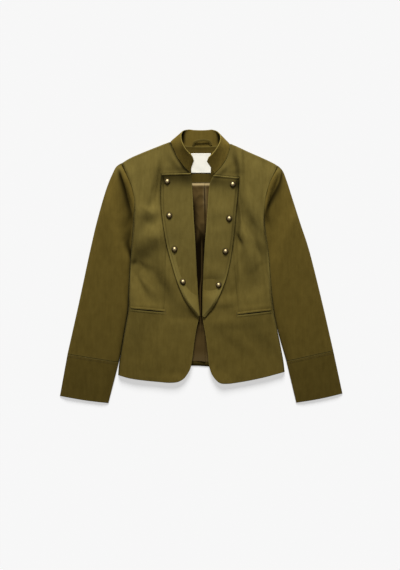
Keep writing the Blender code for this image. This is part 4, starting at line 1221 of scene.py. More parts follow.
# marks along the edges, painted shade and painted highlight: depth, reach, and the y from and to which they
# come in
GROOVE_SHADE = (0.5, 0.8, *GROOVE_FROM)
OUTER_SHADE = {"right": (0.1, 8.0, 0, 60), "left": (0.42, 8.0, 0, 60)}  # the left bib curls down there
INNER_SHADE = (0.6, 1.6, 80, 30)
OUTER_HIGHLIGHT = {"right": (0.9, 20.0, 110, 40), "left": (0.9, 20.0, 10, -50)}
# the dim band below a plastron's top edge: depth, distance from the edge, half width above and below
TOP_SHADE = {"right": (0.76, 8, 6, 25), "left": (0.52, 15, 10, 19)}
TOP_GROOVE, TOP_GROOVE_SHADE, TOP_GROOVE_HALF = 4.6, 0.45, 1.2
BUTTON_SHADE, BUTTON_SHADE_REACH = 0.6, 1.8


def plastron_shade(side, grid):
    """Painted shade on a plastron: in its sewn groove, along its edges and round its buttons."""
    y = grid[..., 1]
    to_top, to_outer = plastron_edges(side, grid)
    shade = line_mark(distance_to(plastron_lines(side), grid) - STITCH_INSET, y, *GROOVE_SHADE)
    shade += line_mark(to_outer, y, *OUTER_SHADE[side])
    depth, below, near, far = TOP_SHADE[side]
    shade += depth * bell(to_top - below, np.where(to_top < below, near, far))
    shade += TOP_GROOVE_SHADE * bell(to_top - TOP_GROOVE, TOP_GROOVE_HALF)
    for place in OUTLINES[side]["buttons"]:
        beyond = np.maximum(np.linalg.norm(grid - place, axis=2) - BUTTON_RADIUS, 0)
        shade = np.maximum(shade, BUTTON_SHADE * bell(beyond, BUTTON_SHADE_REACH))
    return shade + line_mark(distance_to(LINES[side]["front_edge"], grid), y, *INNER_SHADE)


def make_plastron(side):
    cut = OUTLINES[side]
    down, across = graded(130, PLASTRON_SPAN[0]), graded(46, PLASTRON_SPAN[1])
    outer, inner = smooth_curve(cut["plastron"], down), smooth_curve(cut["front_edge"], down)
    top, bottom = (smooth_curve([outer[end], inner[end]], across) for end in (0, -1))
    grid = patch(top, bottom, outer, inner, across, down)
    y = grid[..., 1]
    distance = inset(down, across, *PLASTRON_SPAN)
    under = front_top(side, grid) + PLASTRON_LIFT * np.clip(distance / 4, 0.3, 1)
    under = under + UNDER_LIFT * plastron_lift(side, grid)
    drop = turned_edge(distance, PLASTRON_EDGE) * (1 - TIP_FLAT * eased(y, *TIP_FLAT_FROM))
    skin = plastron_skin(side, grid) - drop
    # painted highlight along the curved outer edge
    painted_highlight = line_mark(plastron_edges(side, grid)[1], y, *OUTER_HIGHLIGHT[side])
    wear_and_highlight = np.minimum(distance, WEAR_AND_HIGHLIGHT_WIDTH * (1 - painted_highlight))
    shade = plastron_shade(side, grid)
    piece = cloth_wall(f"{side}_plastron_panel", grid, under, skin, wear_and_highlight, BODY_CLOTH, shade)
    return declare(piece, "olive_twill", f"{side}_plastron")


for side in SIDES:
    make_plastron(side)

# %% [markdown]
# ## Jetted pockets
# A jetted pocket is a slit with a narrow roll of cloth, a welt, along each lip. The lips part a little in
# the middle and the dark inside shows. Each welt is a strip along the slit, rounded across, and below the
# opening lies a near-black strip, painted as the shade inside the pocket.

# %% Welts, and the mouth between them painted dark as the pocket's shade
WELT_WIDTH, WELT_SLIT, WELT_PART = 5.2, 1.9, 1.0        # the lips part by up to WELT_PART more
WELT_ROWS, WELT_COLUMNS, WELT_FOOT = 70, 13, 0.1
# how each lip is bowed across, where its crown is, how high it stands and how far it is off the front
WELT_ROLLS = {"upper": (1.7, 0.55, 1.35, 0.3), "lower": (1.5, 0.3, 0.7, 0.06)}
WELT_WEAR_AND_HIGHLIGHT_AT = {"upper": 1.0, "lower": 0.3}             # the upper lip is paler at its edge only; the whole lower lip takes a painted highlight
WELT_SIGNS = {"upper": 1, "lower": -1}
MOUTH_REACH, MOUTH_LIFT, MOUTH_WALL = 1.15, 0.12, 0.25
BEYOND_PALER_EDGE = 9.0                                            # so far from an edge that nothing takes the paler colour of wear and highlight


def make_welt(side, name, line, normal, part):
    along, across = even(WELT_ROWS), even(WELT_COLUMNS)
    away = WELT_SIGNS[name] * (part[:, None] + WELT_WIDTH * across[None])
    grid = line[:, None] + normal[:, None] * away[..., None]
    bow, middle, height, lift = WELT_ROLLS[name]
    under = front_top(side, grid) + lift
    hump = height * np.sqrt(np.clip(1 - (bow * across - middle) ** 2, 0.02, 1))
    ends = np.clip(np.minimum(along, 1 - along) * 30, 0.15, 1) ** 0.5
    top = under + WELT_FOOT + hump[None] * ends[:, None]
    # paler lips: wear and painted highlight at the upper lip's edge, painted highlight over the whole lower
    # lip
    wear_and_highlight = np.broadcast_to(WELT_WEAR_AND_HIGHLIGHT_AT[name] * (0.4 + across * WELT_WIDTH), top.shape)
    piece = cloth_wall(f"{side}_{name}_welt", grid, under, top, wear_and_highlight, BODY_CLOTH)
    return declare(piece, "olive_twill", f"{side}_pocket_{name}_welt")


def make_pocket(side):
    along = even(WELT_ROWS)
    line = smooth_curve(OUTLINES[side]["pocket"], along)
    normal = offset_curve(line, 1.0) - line
    from_outside = along if side == "right" else 1 - along
    gape = np.sin(np.clip(from_outside * 1.15 - 0.1, 0, 1) * math.pi) ** 0.8
    part = WELT_SLIT / 2 + WELT_PART / 2 * gape
    for name in WELT_ROLLS:
        make_welt(side, name, line, normal, part)
    # a near-black strip in the slit, painted as the shade inside the pocket
    away = (part[:, None] * np.linspace(-MOUTH_REACH, MOUTH_REACH, 5)[None])[..., None]
    mouth = (line[:, None] + normal[:, None] * away)[2:-2]
    under = front_top(side, mouth) + MOUTH_LIFT
    unworn = np.full(under.shape, BEYOND_PALER_EDGE)
    piece = cloth_wall(f"{side}_pocket_mouth", mouth, under, under + MOUTH_WALL, unworn, POCKET_SHADE_FINISH)
    declare(piece, "brown_lining")


for side in SIDES:
    make_pocket(side)

# %% [markdown]
# ## Sleeves and cuffs
# Each sleeve has a top and an under panel, sewn along both edges, and ends in a deep cuff band. The head
# of the sleeve rises in a soft ridge along the armhole and falls into a crease beside it. The cuff is one
# flattened tube.

# %% Top and under sleeves
SLEEVE_SPAN = (490, 110)
HEAD_HIGHLIGHT, HEAD_HIGHLIGHT_REACH = 0.9, 16.0                    # painted highlight on the top of a sleeve's head
SEWN_FLAT = 0.8                                         # a sewn edge doesn't round over
SEAM_SHADE, SEAM_SHADE_LOW, SEAM_SHADE_REACH = 0.15, 0.5, 0.9
# marks along the edge beside the body: depth, reach, and the y from and to which they come in
SLEEVE_SEWN = (1.0, 3.0, 110, 140)
VALLEY_SHADE = {"right": (0.35, 5.0, 110, 60), "left": (0.105, 5.0, 110, 60)}
FOREARM_SHADE = (0.55, 3.0, -60, -100)


def sleeve_shade(side, grid):
    """Painted shade on a sleeve: in its seam, beside the body, and in the crease beside its head."""
    y = grid[..., 1]
    to_body = distance_to(INNER_LINES[side], grid)
    shade = (SEAM_SHADE + SEAM_SHADE_LOW * eased(y, 140, 100)) * bell(to_body, SEAM_SHADE_REACH)
    shade += line_mark(to_body, y, *VALLEY_SHADE[side])
    shade += line_mark(to_body, y, *FOREARM_SHADE)
    x, near, far, depth = (table_at(y, SLEEVE_SHADE[side], column) for column in (1, 2, 3, 4))
    outward = SIDES[side] * (grid[..., 0] - x)
    return shade + depth * bell(outward, np.where(outward > 0, far, near))


def make_sleeve(side):
    cut = OUTLINES[side]
    down, across = graded(150, SLEEVE_SPAN[0]), graded(58, SLEEVE_SPAN[1])
    outer, inner = smooth_curve(cut["sleeve"], down), smooth_curve(INNER_LINES[side], down)
    head, wrist = (smooth_curve([outer[end], inner[end]], across) for end in (0, -1))
    grid = patch(head, wrist, outer, inner, across, down)
    distance = inset(down, across, *SLEEVE_SPAN)
    sewn = line_mark(distance_to(INNER_LINES[side], grid), grid[..., 1], *SLEEVE_SEWN)
    under, top = sleeve_under(side, grid), sleeve_top(side, grid)
    top = top - turned_edge(distance) * (1 - SEWN_FLAT * sewn)
    # painted highlight on the top of the sleeve's head
    from_head = np.linalg.norm(grid - cut["sleeve"][1], axis=2)
    wear_and_highlight = np.minimum(distance, WEAR_AND_HIGHLIGHT_WIDTH * (1 - HEAD_HIGHLIGHT * bell(from_head, HEAD_HIGHLIGHT_REACH)))
    shade = sleeve_shade(side, grid)
    piece = cloth_wall(f"{side}_top_sleeve_panel", grid, under, top, wear_and_highlight, SLEEVE_CLOTH[side], shade)
    declare(piece, "olive_twill", f"{side}_top_sleeve")
    coarse, distance = grid[::2, ::2], distance[::2, ::2]
    under, top = turned_edge(distance, FLAT_EDGE), np.full(coarse.shape[:2], BACK_WALL)
    piece = cloth_wall(f"{side}_under_sleeve_panel", coarse, under, top, distance, SLEEVE_CLOTH[side])
    declare(piece, "olive_twill", f"{side}_under_sleeve")


for side in SIDES:
    make_sleeve(side)

# %% Lines across the cuffs, and faces between their rings
CUFF_DEPTH, CUFF_WIDTH = 107.0, 124.0
CUFF_RINGS, CUFF_COLUMNS = 46, 56


def cuff_line(side, fraction, shares):
    """A line across the cuff, from its outer to its inner edge, this far from its seam to its hem."""
    outer, inner = cuff_lines(side)
    hem = smooth_curve(OUTLINES[side]["cuff_hem"], shares)
    seam = smooth_curve([outer[0], inner[0]], shares)
    return (1 - fraction) * seam + fraction * hem


def cuff_faces(rings):
    """Faces of a tube with a wall. Each ring of points has an outer loop, then an inner one."""
    loop, ring = 2 * CUFF_COLUMNS, 4 * CUFF_COLUMNS
    last = (rings - 1) * ring
    i = np.arange(loop)
    j = np.roll(i, -1)
    faces = []
    for a in range(0, last, ring):
        b = a + ring
        faces.append(np.stack([a + i, a + j, b + j, b + i], axis=1))
        faces.append(np.stack([a + loop + j, a + loop + i, b + loop + i, b + loop + j], axis=1))
    faces.append(np.stack([j, i, loop + i, loop + j], axis=1))
    faces.append(np.stack([last + i, last + j, last + loop + j, last + loop + i], axis=1))
    return np.concatenate(faces)


print("faces in a cuff:", len(cuff_faces(CUFF_RINGS)))

# %% Cuffs
CUFF_STITCH = 6.0                           # the second line of stitching, below the cuff seam
CUFF_EDGE, CUFF_UNDER_EDGE, CUFF_INSIDE_GAP = 1.4, 0.7, 0.2
CUFF_FRACTIONS = [[0.0002, 0.005, 0.012, 0.02, 0.032], np.linspace(0.04, 0.965, CUFF_RINGS - 10),
                  [0.977, 0.986, 0.992, 0.996, 1.0]]
# shade in the stitched groove and in the seam: depth and reach
CUFF_GROOVE_SHADE, CUFF_SEAM_SHADE = (0.6, 0.8), (0.7, 0.9)


def make_cuff(side):
    fractions = np.concatenate(CUFF_FRACTIONS)
    wall_share = SLEEVE_WALL / CUFF_WIDTH
    shares = graded(CUFF_COLUMNS - 2 * len(EDGE_RINGS), CUFF_WIDTH)
    from_sides = np.minimum(shares, 1 - shares) * CUFF_WIDTH
    plain = np.zeros(CUFF_COLUMNS)
    points, wear_and_highlight, hollow = [], [], []
    for v in fractions:
        line = cuff_line(side, v, shares)
        inner = cuff_line(side, v, wall_share + (1 - 2 * wall_share) * shares)
        below, from_ends = v * CUFF_DEPTH, min(v, 1 - v) * CUFF_DEPTH
        drop = turned_edge(np.minimum(from_ends, from_sides), CUFF_EDGE)
        groove = GROOVE_DEPTH * bell(below - CUFF_STITCH, GROOVE_HALF)
        loops = [(line, sleeve_top(side, line) - drop - groove),
                 (line[::-1], turned_edge(plain + from_ends, CUFF_UNDER_EDGE)),
                 (inner, sleeve_under(side, inner) + CUFF_INSIDE_GAP), (inner[::-1], plain + BACK_WALL)]
        points += [np.concatenate([xy, z[:, None]], axis=1) for xy, z in loops]
        # paler edges for wear and painted highlight; painted shade in the stitched groove and the seam
        wear_and_highlight += [plain + max(0.0, 1 - from_ends / WEAR_AND_HIGHLIGHT_WIDTH)] * 2 + [plain] * 2
        (depth, reach), (seam_depth, seam_reach) = CUFF_GROOVE_SHADE, CUFF_SEAM_SHADE
        sewn = depth * bell(below - CUFF_STITCH, reach) + seam_depth * bell(below, seam_reach)
        hollow += [plain + sewn] * 2 + [plain] * 2
    faces = cuff_faces(len(fractions))
    faces = faces[:, ::-1] if side == "right" else faces
    spots = {"edge": np.concatenate(wear_and_highlight), "hollow": np.concatenate(hollow)}
    name = f"{side}_cuff_band"
    piece = add_piece(name, np.concatenate(points), faces.tolist(), CUFF_CLOTH[side], spots)
    return declare(piece, "olive_twill", f"{side}_cuff")


for side in SIDES:
    make_cuff(side)

# %% [markdown]
# ## The stand collar
# The collar is one stiff band. Behind the neck it lies flat, at each side it folds over, and at the front
# its two ends stand up. A table gives the band's seam and its upper rim at each station along it, and
# straight rulings between the two make the surface, as in a strip of card.

# %% Collar stations: seam x, y, z and rim x, y, z, from the right front end to the left
COLLAR_STATIONS = [
    (-28, 237.5, 9.0, -18, 262, 25.0), (-36, 244, 9.5, -22, 273, 31.0), (-46, 256, 9.8, -29, 281, 33.5),
    (-56.6, 270.2, 9.8, -38, 291, 34.0), (-64.4, 285.4, 9.4, -45, 303, 32.0),
    (-70.2, 298.6, 8.8, -49, 316, 27.0), (-73.4, 308.6, 8.0, -49.4, 328, 20.5),
    (-75, 311.8, 5.4, -45.6, 336.6, 11.5), (-71.8, 312.4, 2.6, -39, 340.2, 4.6),
    (-64, 308.6, 1.3, -31, 341.8, 2.0), (-38, 301.2, 1.3, -18, 340.6, 1.6),
    (-2, 298.2, 1.3, 0, 340, 1.4), (34, 300.2, 1.3, 16, 340.6, 1.6), (60, 305.5, 1.3, 28, 341.4, 2.0),
    (66.2, 307.8, 2.6, 35.8, 338.6, 4.6), (68.6, 307.2, 5.4, 42.6, 333.4, 11.5),
    (69.6, 304.2, 8.0, 46.8, 326.4, 20.5), (69.8, 295.8, 8.8, 47.5, 316, 27.0),
    (67.1, 283.4, 9.4, 43.5, 303, 32.0), (60.5, 268, 9.8, 36.5, 291, 34.0),
    (50.3, 252.1, 9.8, 27, 279, 33.5), (40.3, 239.8, 9.5, 18, 270, 31.0), (33, 233, 9.0, 14, 260, 25.0),
]
COLLAR_SEW_IN = 1.6                         # the band runs on below its seam, where the front hides it
COLLAR_PUFF = 0.7


def bent_band(name, spine, wall, edge_distance, finish, hollow=None):
    """A band given by points on its middle surface, thickened both ways and thinned to rounded edges."""
    normal = np.cross(np.gradient(spine, axis=0), np.gradient(spine, axis=1))
    normal /= np.linalg.norm(normal, axis=2)[..., None]
    half = (wall / 2 - np.minimum(turned_edge(edge_distance, wall / 2), 0.75 * wall / 2))[..., None]
    points = np.concatenate([(spine + normal * half).reshape(-1, 3), (spine - normal * half).reshape(-1, 3)])
    # paler edges for wear and painted highlight, and painted shade from 0 to 1
    wear_and_highlight = np.clip(1 - edge_distance / WEAR_AND_HIGHLIGHT_WIDTH, 0, 1).ravel()
    shade = np.zeros(len(wear_and_highlight)) if hollow is None else np.clip(hollow, 0, 1).ravel()
    spots = {"edge": np.concatenate([wear_and_highlight, wear_and_highlight]), "hollow": np.concatenate([shade, shade])}
    return add_piece(name, points, sheet_faces(*spine.shape[:2]), finish, spots)


def collar_spine(along, up):
    table = smooth_curve(COLLAR_STATIONS, along)
    seam, rim = table[:, :3], table[:, 3:]
    ruling = (rim - seam) / np.linalg.norm(rim - seam, axis=1)[:, None]
    standing = eased(seam[:, 2], 4.0, 8.5)[:, None]
    seam = seam - ruling * COLLAR_SEW_IN
    rows = (1 - up[None, :, None]) * seam[:, None] + up[None, :, None] * rim[:, None]
    normal = np.cross(np.gradient(rows, axis=0), np.gradient(rows, axis=1))
    normal /= np.linalg.norm(normal, axis=2)[..., None]
    return rows + normal * (COLLAR_PUFF * np.sin(math.pi * up) * standing)[..., None]


COLLAR_SPAN = (380, 40)
BACK_SHADE, LYING_SHADE, CORNER_SHADE, RIGHT_WING_SHADE = 0.34, 0.22, 0.45, 0.12
CORNER_X, CORNER_HALF, CORNER_FROM = 45, 6, (298, 314)
LYING_BELOW, BACK_FROM, WING_FROM = (12.0, 4.0), (268, 296), (10, -10)


def make_collar():
    along, up = graded(190, COLLAR_SPAN[0]), graded(22, COLLAR_SPAN[1])
    spine = collar_spine(along, up)
    x, y, z = (spine[..., k] for k in range(3))
    distance = inset(along, up, *COLLAR_SPAN)
    lying = eased(z, *LYING_BELOW)
    corner = bell(np.abs(x) - CORNER_X, CORNER_HALF) * eased(y, *CORNER_FROM)
    shade = BACK_SHADE * eased(y, *BACK_FROM) + lying * (LYING_SHADE + CORNER_SHADE * corner)
    shade = shade + RIGHT_WING_SHADE * eased(x, *WING_FROM) * (1 - lying)
    piece = bent_band("stand_collar", spine, COLLAR_WALL, distance, COLLAR_CLOTH, shade)
    return declare(piece, "olive_twill", "collar")


make_collar()

# %% [markdown]
# ## Label and hanger loop
# A woven label, left bare, is sewn to the neck facing. Its corners lift a little. The hanger loop is a
# narrow tube of cloth, pressed flat and bowed, with both ends caught in the neck seam.

# %% Label
LABEL_SIZE = 49.0
LABEL_CENTRE = np.array([-0.5, 257.5])
LABEL_LOW = REST_Z + FACING_WALL + 0.5
LABEL_CURL, LABEL_RIPPLE, LABEL_EDGE = 0.9, 0.12, 0.5
LABEL_HEM, LABEL_HEM_INSET, LABEL_HEM_HALF = 0.12, 2.2, 1.2


def label_under(xy):
    away = (xy - LABEL_CENTRE) / (LABEL_SIZE / 2)
    corner = np.clip(np.abs(away[..., 0]) * np.abs(away[..., 1]), 0, 1)
    return LABEL_LOW + LABEL_CURL * corner ** 3 + LABEL_RIPPLE * ripple(xy, 26, 5)


def make_label():
    down, across = graded(24, LABEL_SIZE), graded(24, LABEL_SIZE)
    square = np.stack(np.meshgrid((across - 0.5) * LABEL_SIZE, (0.5 - down) * LABEL_SIZE), axis=-1)
    grid = LABEL_CENTRE + square
    distance = inset(down, across, LABEL_SIZE, LABEL_SIZE)
    under = label_under(grid)
    hem = LABEL_HEM * bell(distance - LABEL_HEM_INSET, LABEL_HEM_HALF)
    top = under + LABEL_WALL - turned_edge(distance, LABEL_EDGE) + hem
    piece = cloth_wall("bare_label", grid, under, top, distance + BEYOND_PALER_EDGE, LABEL_CLOTH)
    return declare(piece, "white_label", "label")


make_label()

# %% Hanger loop
LOOP_PATH = [(-20, 301, 3.9), (-16, 310, 6.0), (2, 315, 8.0), (20, 312, 6.0), (25, 302, 3.9)]
LOOP_LENGTH, LOOP_WIDTH, LOOP_WALL = 64, 5.4, 1.4


def make_loop():
    along, across = graded(60, LOOP_LENGTH), even(9)
    path = smooth_curve(LOOP_PATH, along)
    ahead = np.gradient(path, axis=0)
    ahead[:, 2] = 0
    ahead /= np.linalg.norm(ahead, axis=1)[:, None]
    outward = np.stack([-ahead[:, 1], ahead[:, 0], np.zeros(len(path))], axis=1)
    spine = path[:, None] + outward[:, None] * (LOOP_WIDTH * (0.5 - across))[None, :, None]
    distance = inset(along, across, LOOP_LENGTH, LOOP_WIDTH)
    piece = bent_band("hanger_tape", spine, LOOP_WALL, distance, INSIDE_CLOTH)
    return declare(piece, "olive_facing", "hanger_loop")


make_loop()

# %% [markdown]
# ## Buttons
# Eight domed metal buttons sit on short shanks, leaning with the cloth under them. One dome is turned
# from a profile, and Geometry Nodes put a copy at each place. Copies by hand would do for eight, but the
# tree takes any number.

# %% One dome, turned from a profile
BUTTON_STEPS = 40
BUTTON_CLEAR = 0.7                          # the brim stands this far above the foot
# radius and height as shares of the button's, and how dark the brass is there: patina, with painted shade at
# the brim
BUTTON_PROFILE = [(0.0, 1.0, 0.0), (0.15, 0.985, 0.0), (0.3, 0.94, 0.0), (0.44, 0.87, 0.02),
                  (0.57, 0.77, 0.12), (0.68, 0.64, 0.35), (0.76, 0.50, 0.7), (0.80, 0.36, 1.0),
                  (0.82, 0.30, 1.0), (0.86, 0.29, 1.0), (0.94, 0.30, 0.9), (0.985, 0.27, 0.8),
                  (1.0, 0.20, 0.9), (0.97, 0.14, 1.0), (0.6, 0.12, 1.0), (0.3, 0.12, 1.0),
                  (0.3, 0.0, 1.0), (0.0, 0.0, 1.0)]


def turn_button():
    """The profile spun about z into a closed mesh with an attribute for patina and painted shade."""
    shell = bmesh.new()
    patina = shell.verts.layers.float.new("patina")
    profile = []
    for radius, height, dark in BUTTON_PROFILE:
        vert = shell.verts.new((radius * BUTTON_RADIUS * MM, 0, height * BUTTON_HEIGHT * MM))
        vert[patina] = dark
        profile.append(vert)
    edges = [shell.edges.new(pair) for pair in zip(profile, profile[1:])]
    bmesh.ops.spin(shell, geom=profile + edges, cent=(0, 0, 0), axis=(0, 0, 1), angle=2 * math.pi,
                   steps=BUTTON_STEPS, use_merge=True)
    bmesh.ops.remove_doubles(shell, verts=shell.verts, dist=1e-6)
    bmesh.ops.recalc_face_normals(shell, faces=shell.faces)
    mesh = bpy.data.meshes.new("button_dome")
    shell.to_mesh(mesh)
    shell.free()
    mesh.shade_smooth()
    dome = bpy.data.objects.new("button_dome", mesh)
    bpy.context.scene.collection.objects.link(dome)
    return dome


# %% Helpers that turn a node tree into a plain mesh


def new_tree(name, inputs):
    """A geometry node tree with a geometry input and output, and named inputs with their defaults."""
    tree = bpy.data.node_groups.new(name, "GeometryNodeTree")
    tree.interface.new_socket("Geometry", in_out="INPUT", socket_type="NodeSocketGeometry")
    for label, kind, value in inputs:
        socket = tree.interface.new_socket(label, in_out="INPUT", socket_type=kind)
        if value is not None:
            socket.default_value = value
    tree.interface.new_socket("Geometry", in_out="OUTPUT", socket_type="NodeSocketGeometry")
    return tree, tree.nodes.new("NodeGroupInput"), tree.nodes.new("NodeGroupOutput")


def grown(name, points, edges, tree, settings, attributes=None):
    """A tree's result on a bare mesh of points and edges, as a plain mesh object at the origin."""
    seed = bpy.data.meshes.new(name + "_seed")
    seed.from_pydata((np.asarray(points, float) * MM).tolist(), edges, [])
    for key, values in (attributes or {}).items():
        layer = seed.attributes.new(key, "FLOAT_VECTOR", "POINT")
        layer.data.foreach_set("vector", np.asarray(values, np.float32).ravel())
    holder = bpy.data.objects.new(name + "_seed", seed)
    bpy.context.scene.collection.objects.link(holder)
    modifier = holder.modifiers.new("grow", "NODES")
    modifier.node_group = tree
    for item in tree.interface.items_tree:
        if item.in_out == "INPUT" and item.name in settings:
            modifier[item.identifier] = settings[item.name]
    graph = bpy.context.evaluated_depsgraph_get()
    mesh = bpy.data.meshes.new_from_object(holder.evaluated_get(graph))
    mesh.name = name
    bpy.data.objects.remove(holder, do_unlink=True)
    piece = bpy.data.objects.new(name, mesh)
    bpy.context.scene.collection.objects.link(piece)
    return piece


# %% The tree that sets a dome on each point, leaning with the cloth


def button_tree():
    tree, given, made = new_tree("buttons_on_points", [("Dome", "NodeSocketObject", None),
                                                       ("Finish", "NodeSocketMaterial", None)])
    dome = tree.nodes.new("GeometryNodeObjectInfo")
    lean = tree.nodes.new("GeometryNodeInputNamedAttribute")
    lean.data_type = "FLOAT_VECTOR"
    lean.inputs["Name"].default_value = "lean"
    align = tree.nodes.new("FunctionNodeAlignRotationToVector")
    place = tree.nodes.new("GeometryNodeInstanceOnPoints")
    real = tree.nodes.new("GeometryNodeRealizeInstances")
    paint = tree.nodes.new("GeometryNodeSetMaterial")
    for out, to in ((given.outputs["Dome"], dome.inputs["Object"]),
                    (lean.outputs["Attribute"], align.inputs["Vector"]),
                    (given.outputs["Geometry"], place.inputs["Points"]),
                    (dome.outputs["Geometry"], place.inputs["Instance"]),
                    (align.outputs["Rotation"], place.inputs["Rotation"]),
                    (place.outputs["Instances"], real.inputs["Geometry"]),
                    (real.outputs["Geometry"], paint.inputs["Geometry"]),
                    (given.outputs["Finish"], paint.inputs["Material"]),
                    (paint.outputs["Geometry"], made.inputs["Geometry"])):
        tree.links.new(out, to)
    return tree


BUTTON_SINK, LEAN_POINTS = 0.1, 16          # a foot's depth in the cloth, and the points that give its lean


def make_buttons():
    tree, dome = button_tree(), turn_button()
    print(f"{dome.name}: {len(dome.data.polygons)} faces")
    for side in SIDES:
        xy = np.array(OUTLINES[side]["buttons"], float)
        turns = np.linspace(0, 2 * math.pi, LEAN_POINTS, endpoint=False)
        ring = BUTTON_RADIUS * np.stack([np.cos(turns), np.sin(turns)], axis=1)
        heights = plastron_skin(side, xy[:, None] + ring[None])
        slope = 2 * (heights[..., None] * ring).mean(1) / BUTTON_RADIUS**2
        lean = np.concatenate([-slope, np.ones((len(xy), 1))], axis=1)
        lean /= np.linalg.norm(lean, axis=1)[:, None]
        highest = (heights - slope @ ring.T).max(1)
        height = np.maximum(plastron_skin(side, xy), highest - BUTTON_CLEAR)
        feet = np.concatenate([xy, height[:, None]], axis=1) - BUTTON_SINK * lean
        piece = grown(f"{side}_buttons", feet, [], tree, {"Dome": dome, "Finish": BRASS}, {"lean": lean})
        declare(piece, "antique_brass", *[f"{side}_button_{n}" for n in range(1, 5)])
    bpy.data.objects.remove(dome, do_unlink=True)


make_buttons()

# %% [markdown]
# ## Stitching
# Topstitching is hundreds of equal short threads along a line, which is what Geometry Nodes are for: the
# line is cut into equal steps, a small thread is set on each, turned along the line, and the copies are
# made real.

# %% The tree that sews along a line


def stitch_tree():
    tree, given, made = new_tree("stitches_on_line", [
        ("Pitch", "NodeSocketFloat", 0.0032), ("Length", "NodeSocketFloat", 0.0024),
        ("Thread Radius", "NodeSocketFloat", 0.0003), ("Finish", "NodeSocketMaterial", None)])
    line = tree.nodes.new("GeometryNodeMeshToCurve")
    spots = tree.nodes.new("GeometryNodeCurveToPoints")
    spots.mode = "LENGTH"
    bead = tree.nodes.new("GeometryNodeMeshIcoSphere")
    bead.inputs["Radius"].default_value = 1.0
    bead.inputs["Subdivisions"].default_value = 1
    half = tree.nodes.new("ShaderNodeMath")
    half.operation = "MULTIPLY"
    half.inputs[1].default_value = 0.5
    size = tree.nodes.new("ShaderNodeCombineXYZ")
    place = tree.nodes.new("GeometryNodeInstanceOnPoints")
    real = tree.nodes.new("GeometryNodeRealizeInstances")
    paint = tree.nodes.new("GeometryNodeSetMaterial")
    for out, to in ((given.outputs["Geometry"], line.inputs["Mesh"]),
                    (line.outputs["Curve"], spots.inputs["Curve"]),
                    (given.outputs["Pitch"], spots.inputs["Length"]),
                    (given.outputs["Length"], half.inputs[0]),
                    (given.outputs["Thread Radius"], size.inputs["X"]),
                    (given.outputs["Thread Radius"], size.inputs["Y"]),
                    (half.outputs[0], size.inputs["Z"]),
                    (spots.outputs["Points"], place.inputs["Points"]),
                    (bead.outputs["Mesh"], place.inputs["Instance"]),
                    (spots.outputs["Rotation"], place.inputs["Rotation"]),
                    (size.outputs["Vector"], place.inputs["Scale"]),
                    (place.outputs["Instances"], real.inputs["Geometry"]),
                    (real.outputs["Geometry"], paint.inputs["Geometry"]),
                    (given.outputs["Finish"], paint.inputs["Material"]),
                    (paint.outputs["Geometry"], made.inputs["Geometry"])):
        tree.links.new(out, to)
    return tree


SEWING = stitch_tree()
print(f"{SEWING.name}: {len(SEWING.nodes)} nodes")


def sew(name, lines, slot, finish, pitch=3.2, length=2.4, radius=0.28):
    """Stitches along lines of x, y, z points in mm."""
    points, edges = np.concatenate(lines), []
    start = 0
    for line in lines:
        edges += [(k, k + 1) for k in range(start, start + len(line) - 1)]
        start += len(line)
    settings = {"Pitch": pitch * MM, "Length": length * MM, "Thread Radius": radius * MM, "Finish": finish}
    piece = grown(name, points, edges, SEWING, settings)
    piece.data.shade_smooth()
    return declare(piece, slot)


# %% Sew the plastrons, cuffs, pockets and label
CUFF_ROWS = {1.6: 0.1, CUFF_STITCH: 0.0}    # distance below the cuff seam, and how far the thread is lifted
BAR_HALF, BAR_INSET, BAR_LIFT = 6.5, 1.5, 0.25
LABEL_STITCH_INSET = 1.6


def on(height, xy, lift=0.1):
    """Points on a height function, lifted a little."""
    return np.concatenate([xy, (height(xy) + lift)[:, None]], axis=1)


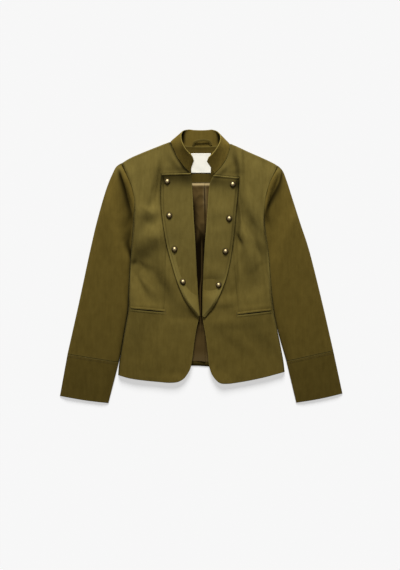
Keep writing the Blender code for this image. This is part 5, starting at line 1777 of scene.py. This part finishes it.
def sew_side(side, sign):
    """Thread on one half: round the plastron, across the cuff, and a bar at the pocket's inner end."""
    outline = plastron_lines(side)
    inside = offset_curve(smooth_curve(outline, even(240)), -sign * STITCH_INSET)
    inside = inside[np.abs(distance_to(outline, inside) - STITCH_INSET) < 0.5]
    line = on(lambda p: plastron_skin(side, p), inside)
    sew(f"{side}_plastron_stitches", [line], "olive_twill", OLIVE_THREAD)
    across = np.linspace(0.04, 0.93, 60)
    rows = [on(lambda p: sleeve_top(side, p), cuff_line(side, below / CUFF_DEPTH, across), lift)
            for below, lift in CUFF_ROWS.items()]
    sew(f"{side}_cuff_stitches", rows, "olive_twill", OLIVE_THREAD)
    start, end = OUTLINES[side]["pocket"]
    inner_end = np.array(end if side == "right" else start, float) + (-sign * BAR_INSET, 0)
    bar = inner_end + np.stack([np.zeros(20), np.linspace(-BAR_HALF, BAR_HALF, 20)], axis=1)
    line = on(lambda p: front_top(side, p), bar, BAR_LIFT)
    sew(f"{side}_pocket_bar", [line], "olive_twill", OLIVE_THREAD, pitch=0.7, length=2.2, radius=0.4)


for side, sign in SIDES.items():
    sew_side(side, sign)

label_half = LABEL_SIZE / 2 - LABEL_STITCH_INSET
corners = LABEL_CENTRE + label_half * np.array([(-1, -1), (-1, 1), (1, 1), (1, -1)])
label_line = np.concatenate([smooth_curve([a, b], even(40)) for a, b in zip(corners, corners[1:])])
label_line = on(label_under, label_line, LABEL_WALL + 0.1)
sew("label_stitches", [label_line], "white_label", WHITE_THREAD, pitch=2.6, length=2.0, radius=0.2)

# %% [markdown]
# ## What each sheet was cut to
# Laid-out panels keep their size, so each cut is the panel's own width and length, with the area that its
# outline leaves. A cuff is a tube, so its cut goes all round.

CUTS = {
    "back_panel": (0.414, 0.582, 0.200), "neck_facing": (0.124, 0.094, 0.0107),
    "hem_turn_up": (0.312, 0.040, 0.0042), "lining": (0.312, 0.470, 0.118),
    "stand_collar": (0.390, 0.060, 0.0152), "bare_label": (0.049, 0.049, 0.0024),
    "hanger_tape": (0.064, 0.013, 0.000416),
}
CUTS_OF_A_SIDE = {
    "front_panel": (0.215, 0.605, 0.094), "plastron_panel": (0.100, 0.360, 0.0245),
    "top_sleeve_panel": (0.175, 0.500, 0.052), "under_sleeve_panel": (0.172, 0.497, 0.050),
    "cuff_band": (0.252, 0.108, 0.0268), "upper_welt": (0.088, 0.0120, 0.0006),
    "lower_welt": (0.088, 0.0120, 0.0006), "pocket_mouth": (0.084, 0.0100, 0.000255),
}
for side in SIDES:
    CUTS |= {f"{side}_{name}": cut for name, cut in CUTS_OF_A_SIDE.items()}

for name, piece in PIECES.items():
    if name in CUTS:
        shape = bmesh.new()
        shape.from_mesh(piece.data)
        one_side = sum(face.calc_area() for face in shape.faces) / 2
        shape.free()
        print(f"{name}: cut {CUTS[name]}, one side measures {one_side:.5f} m2")
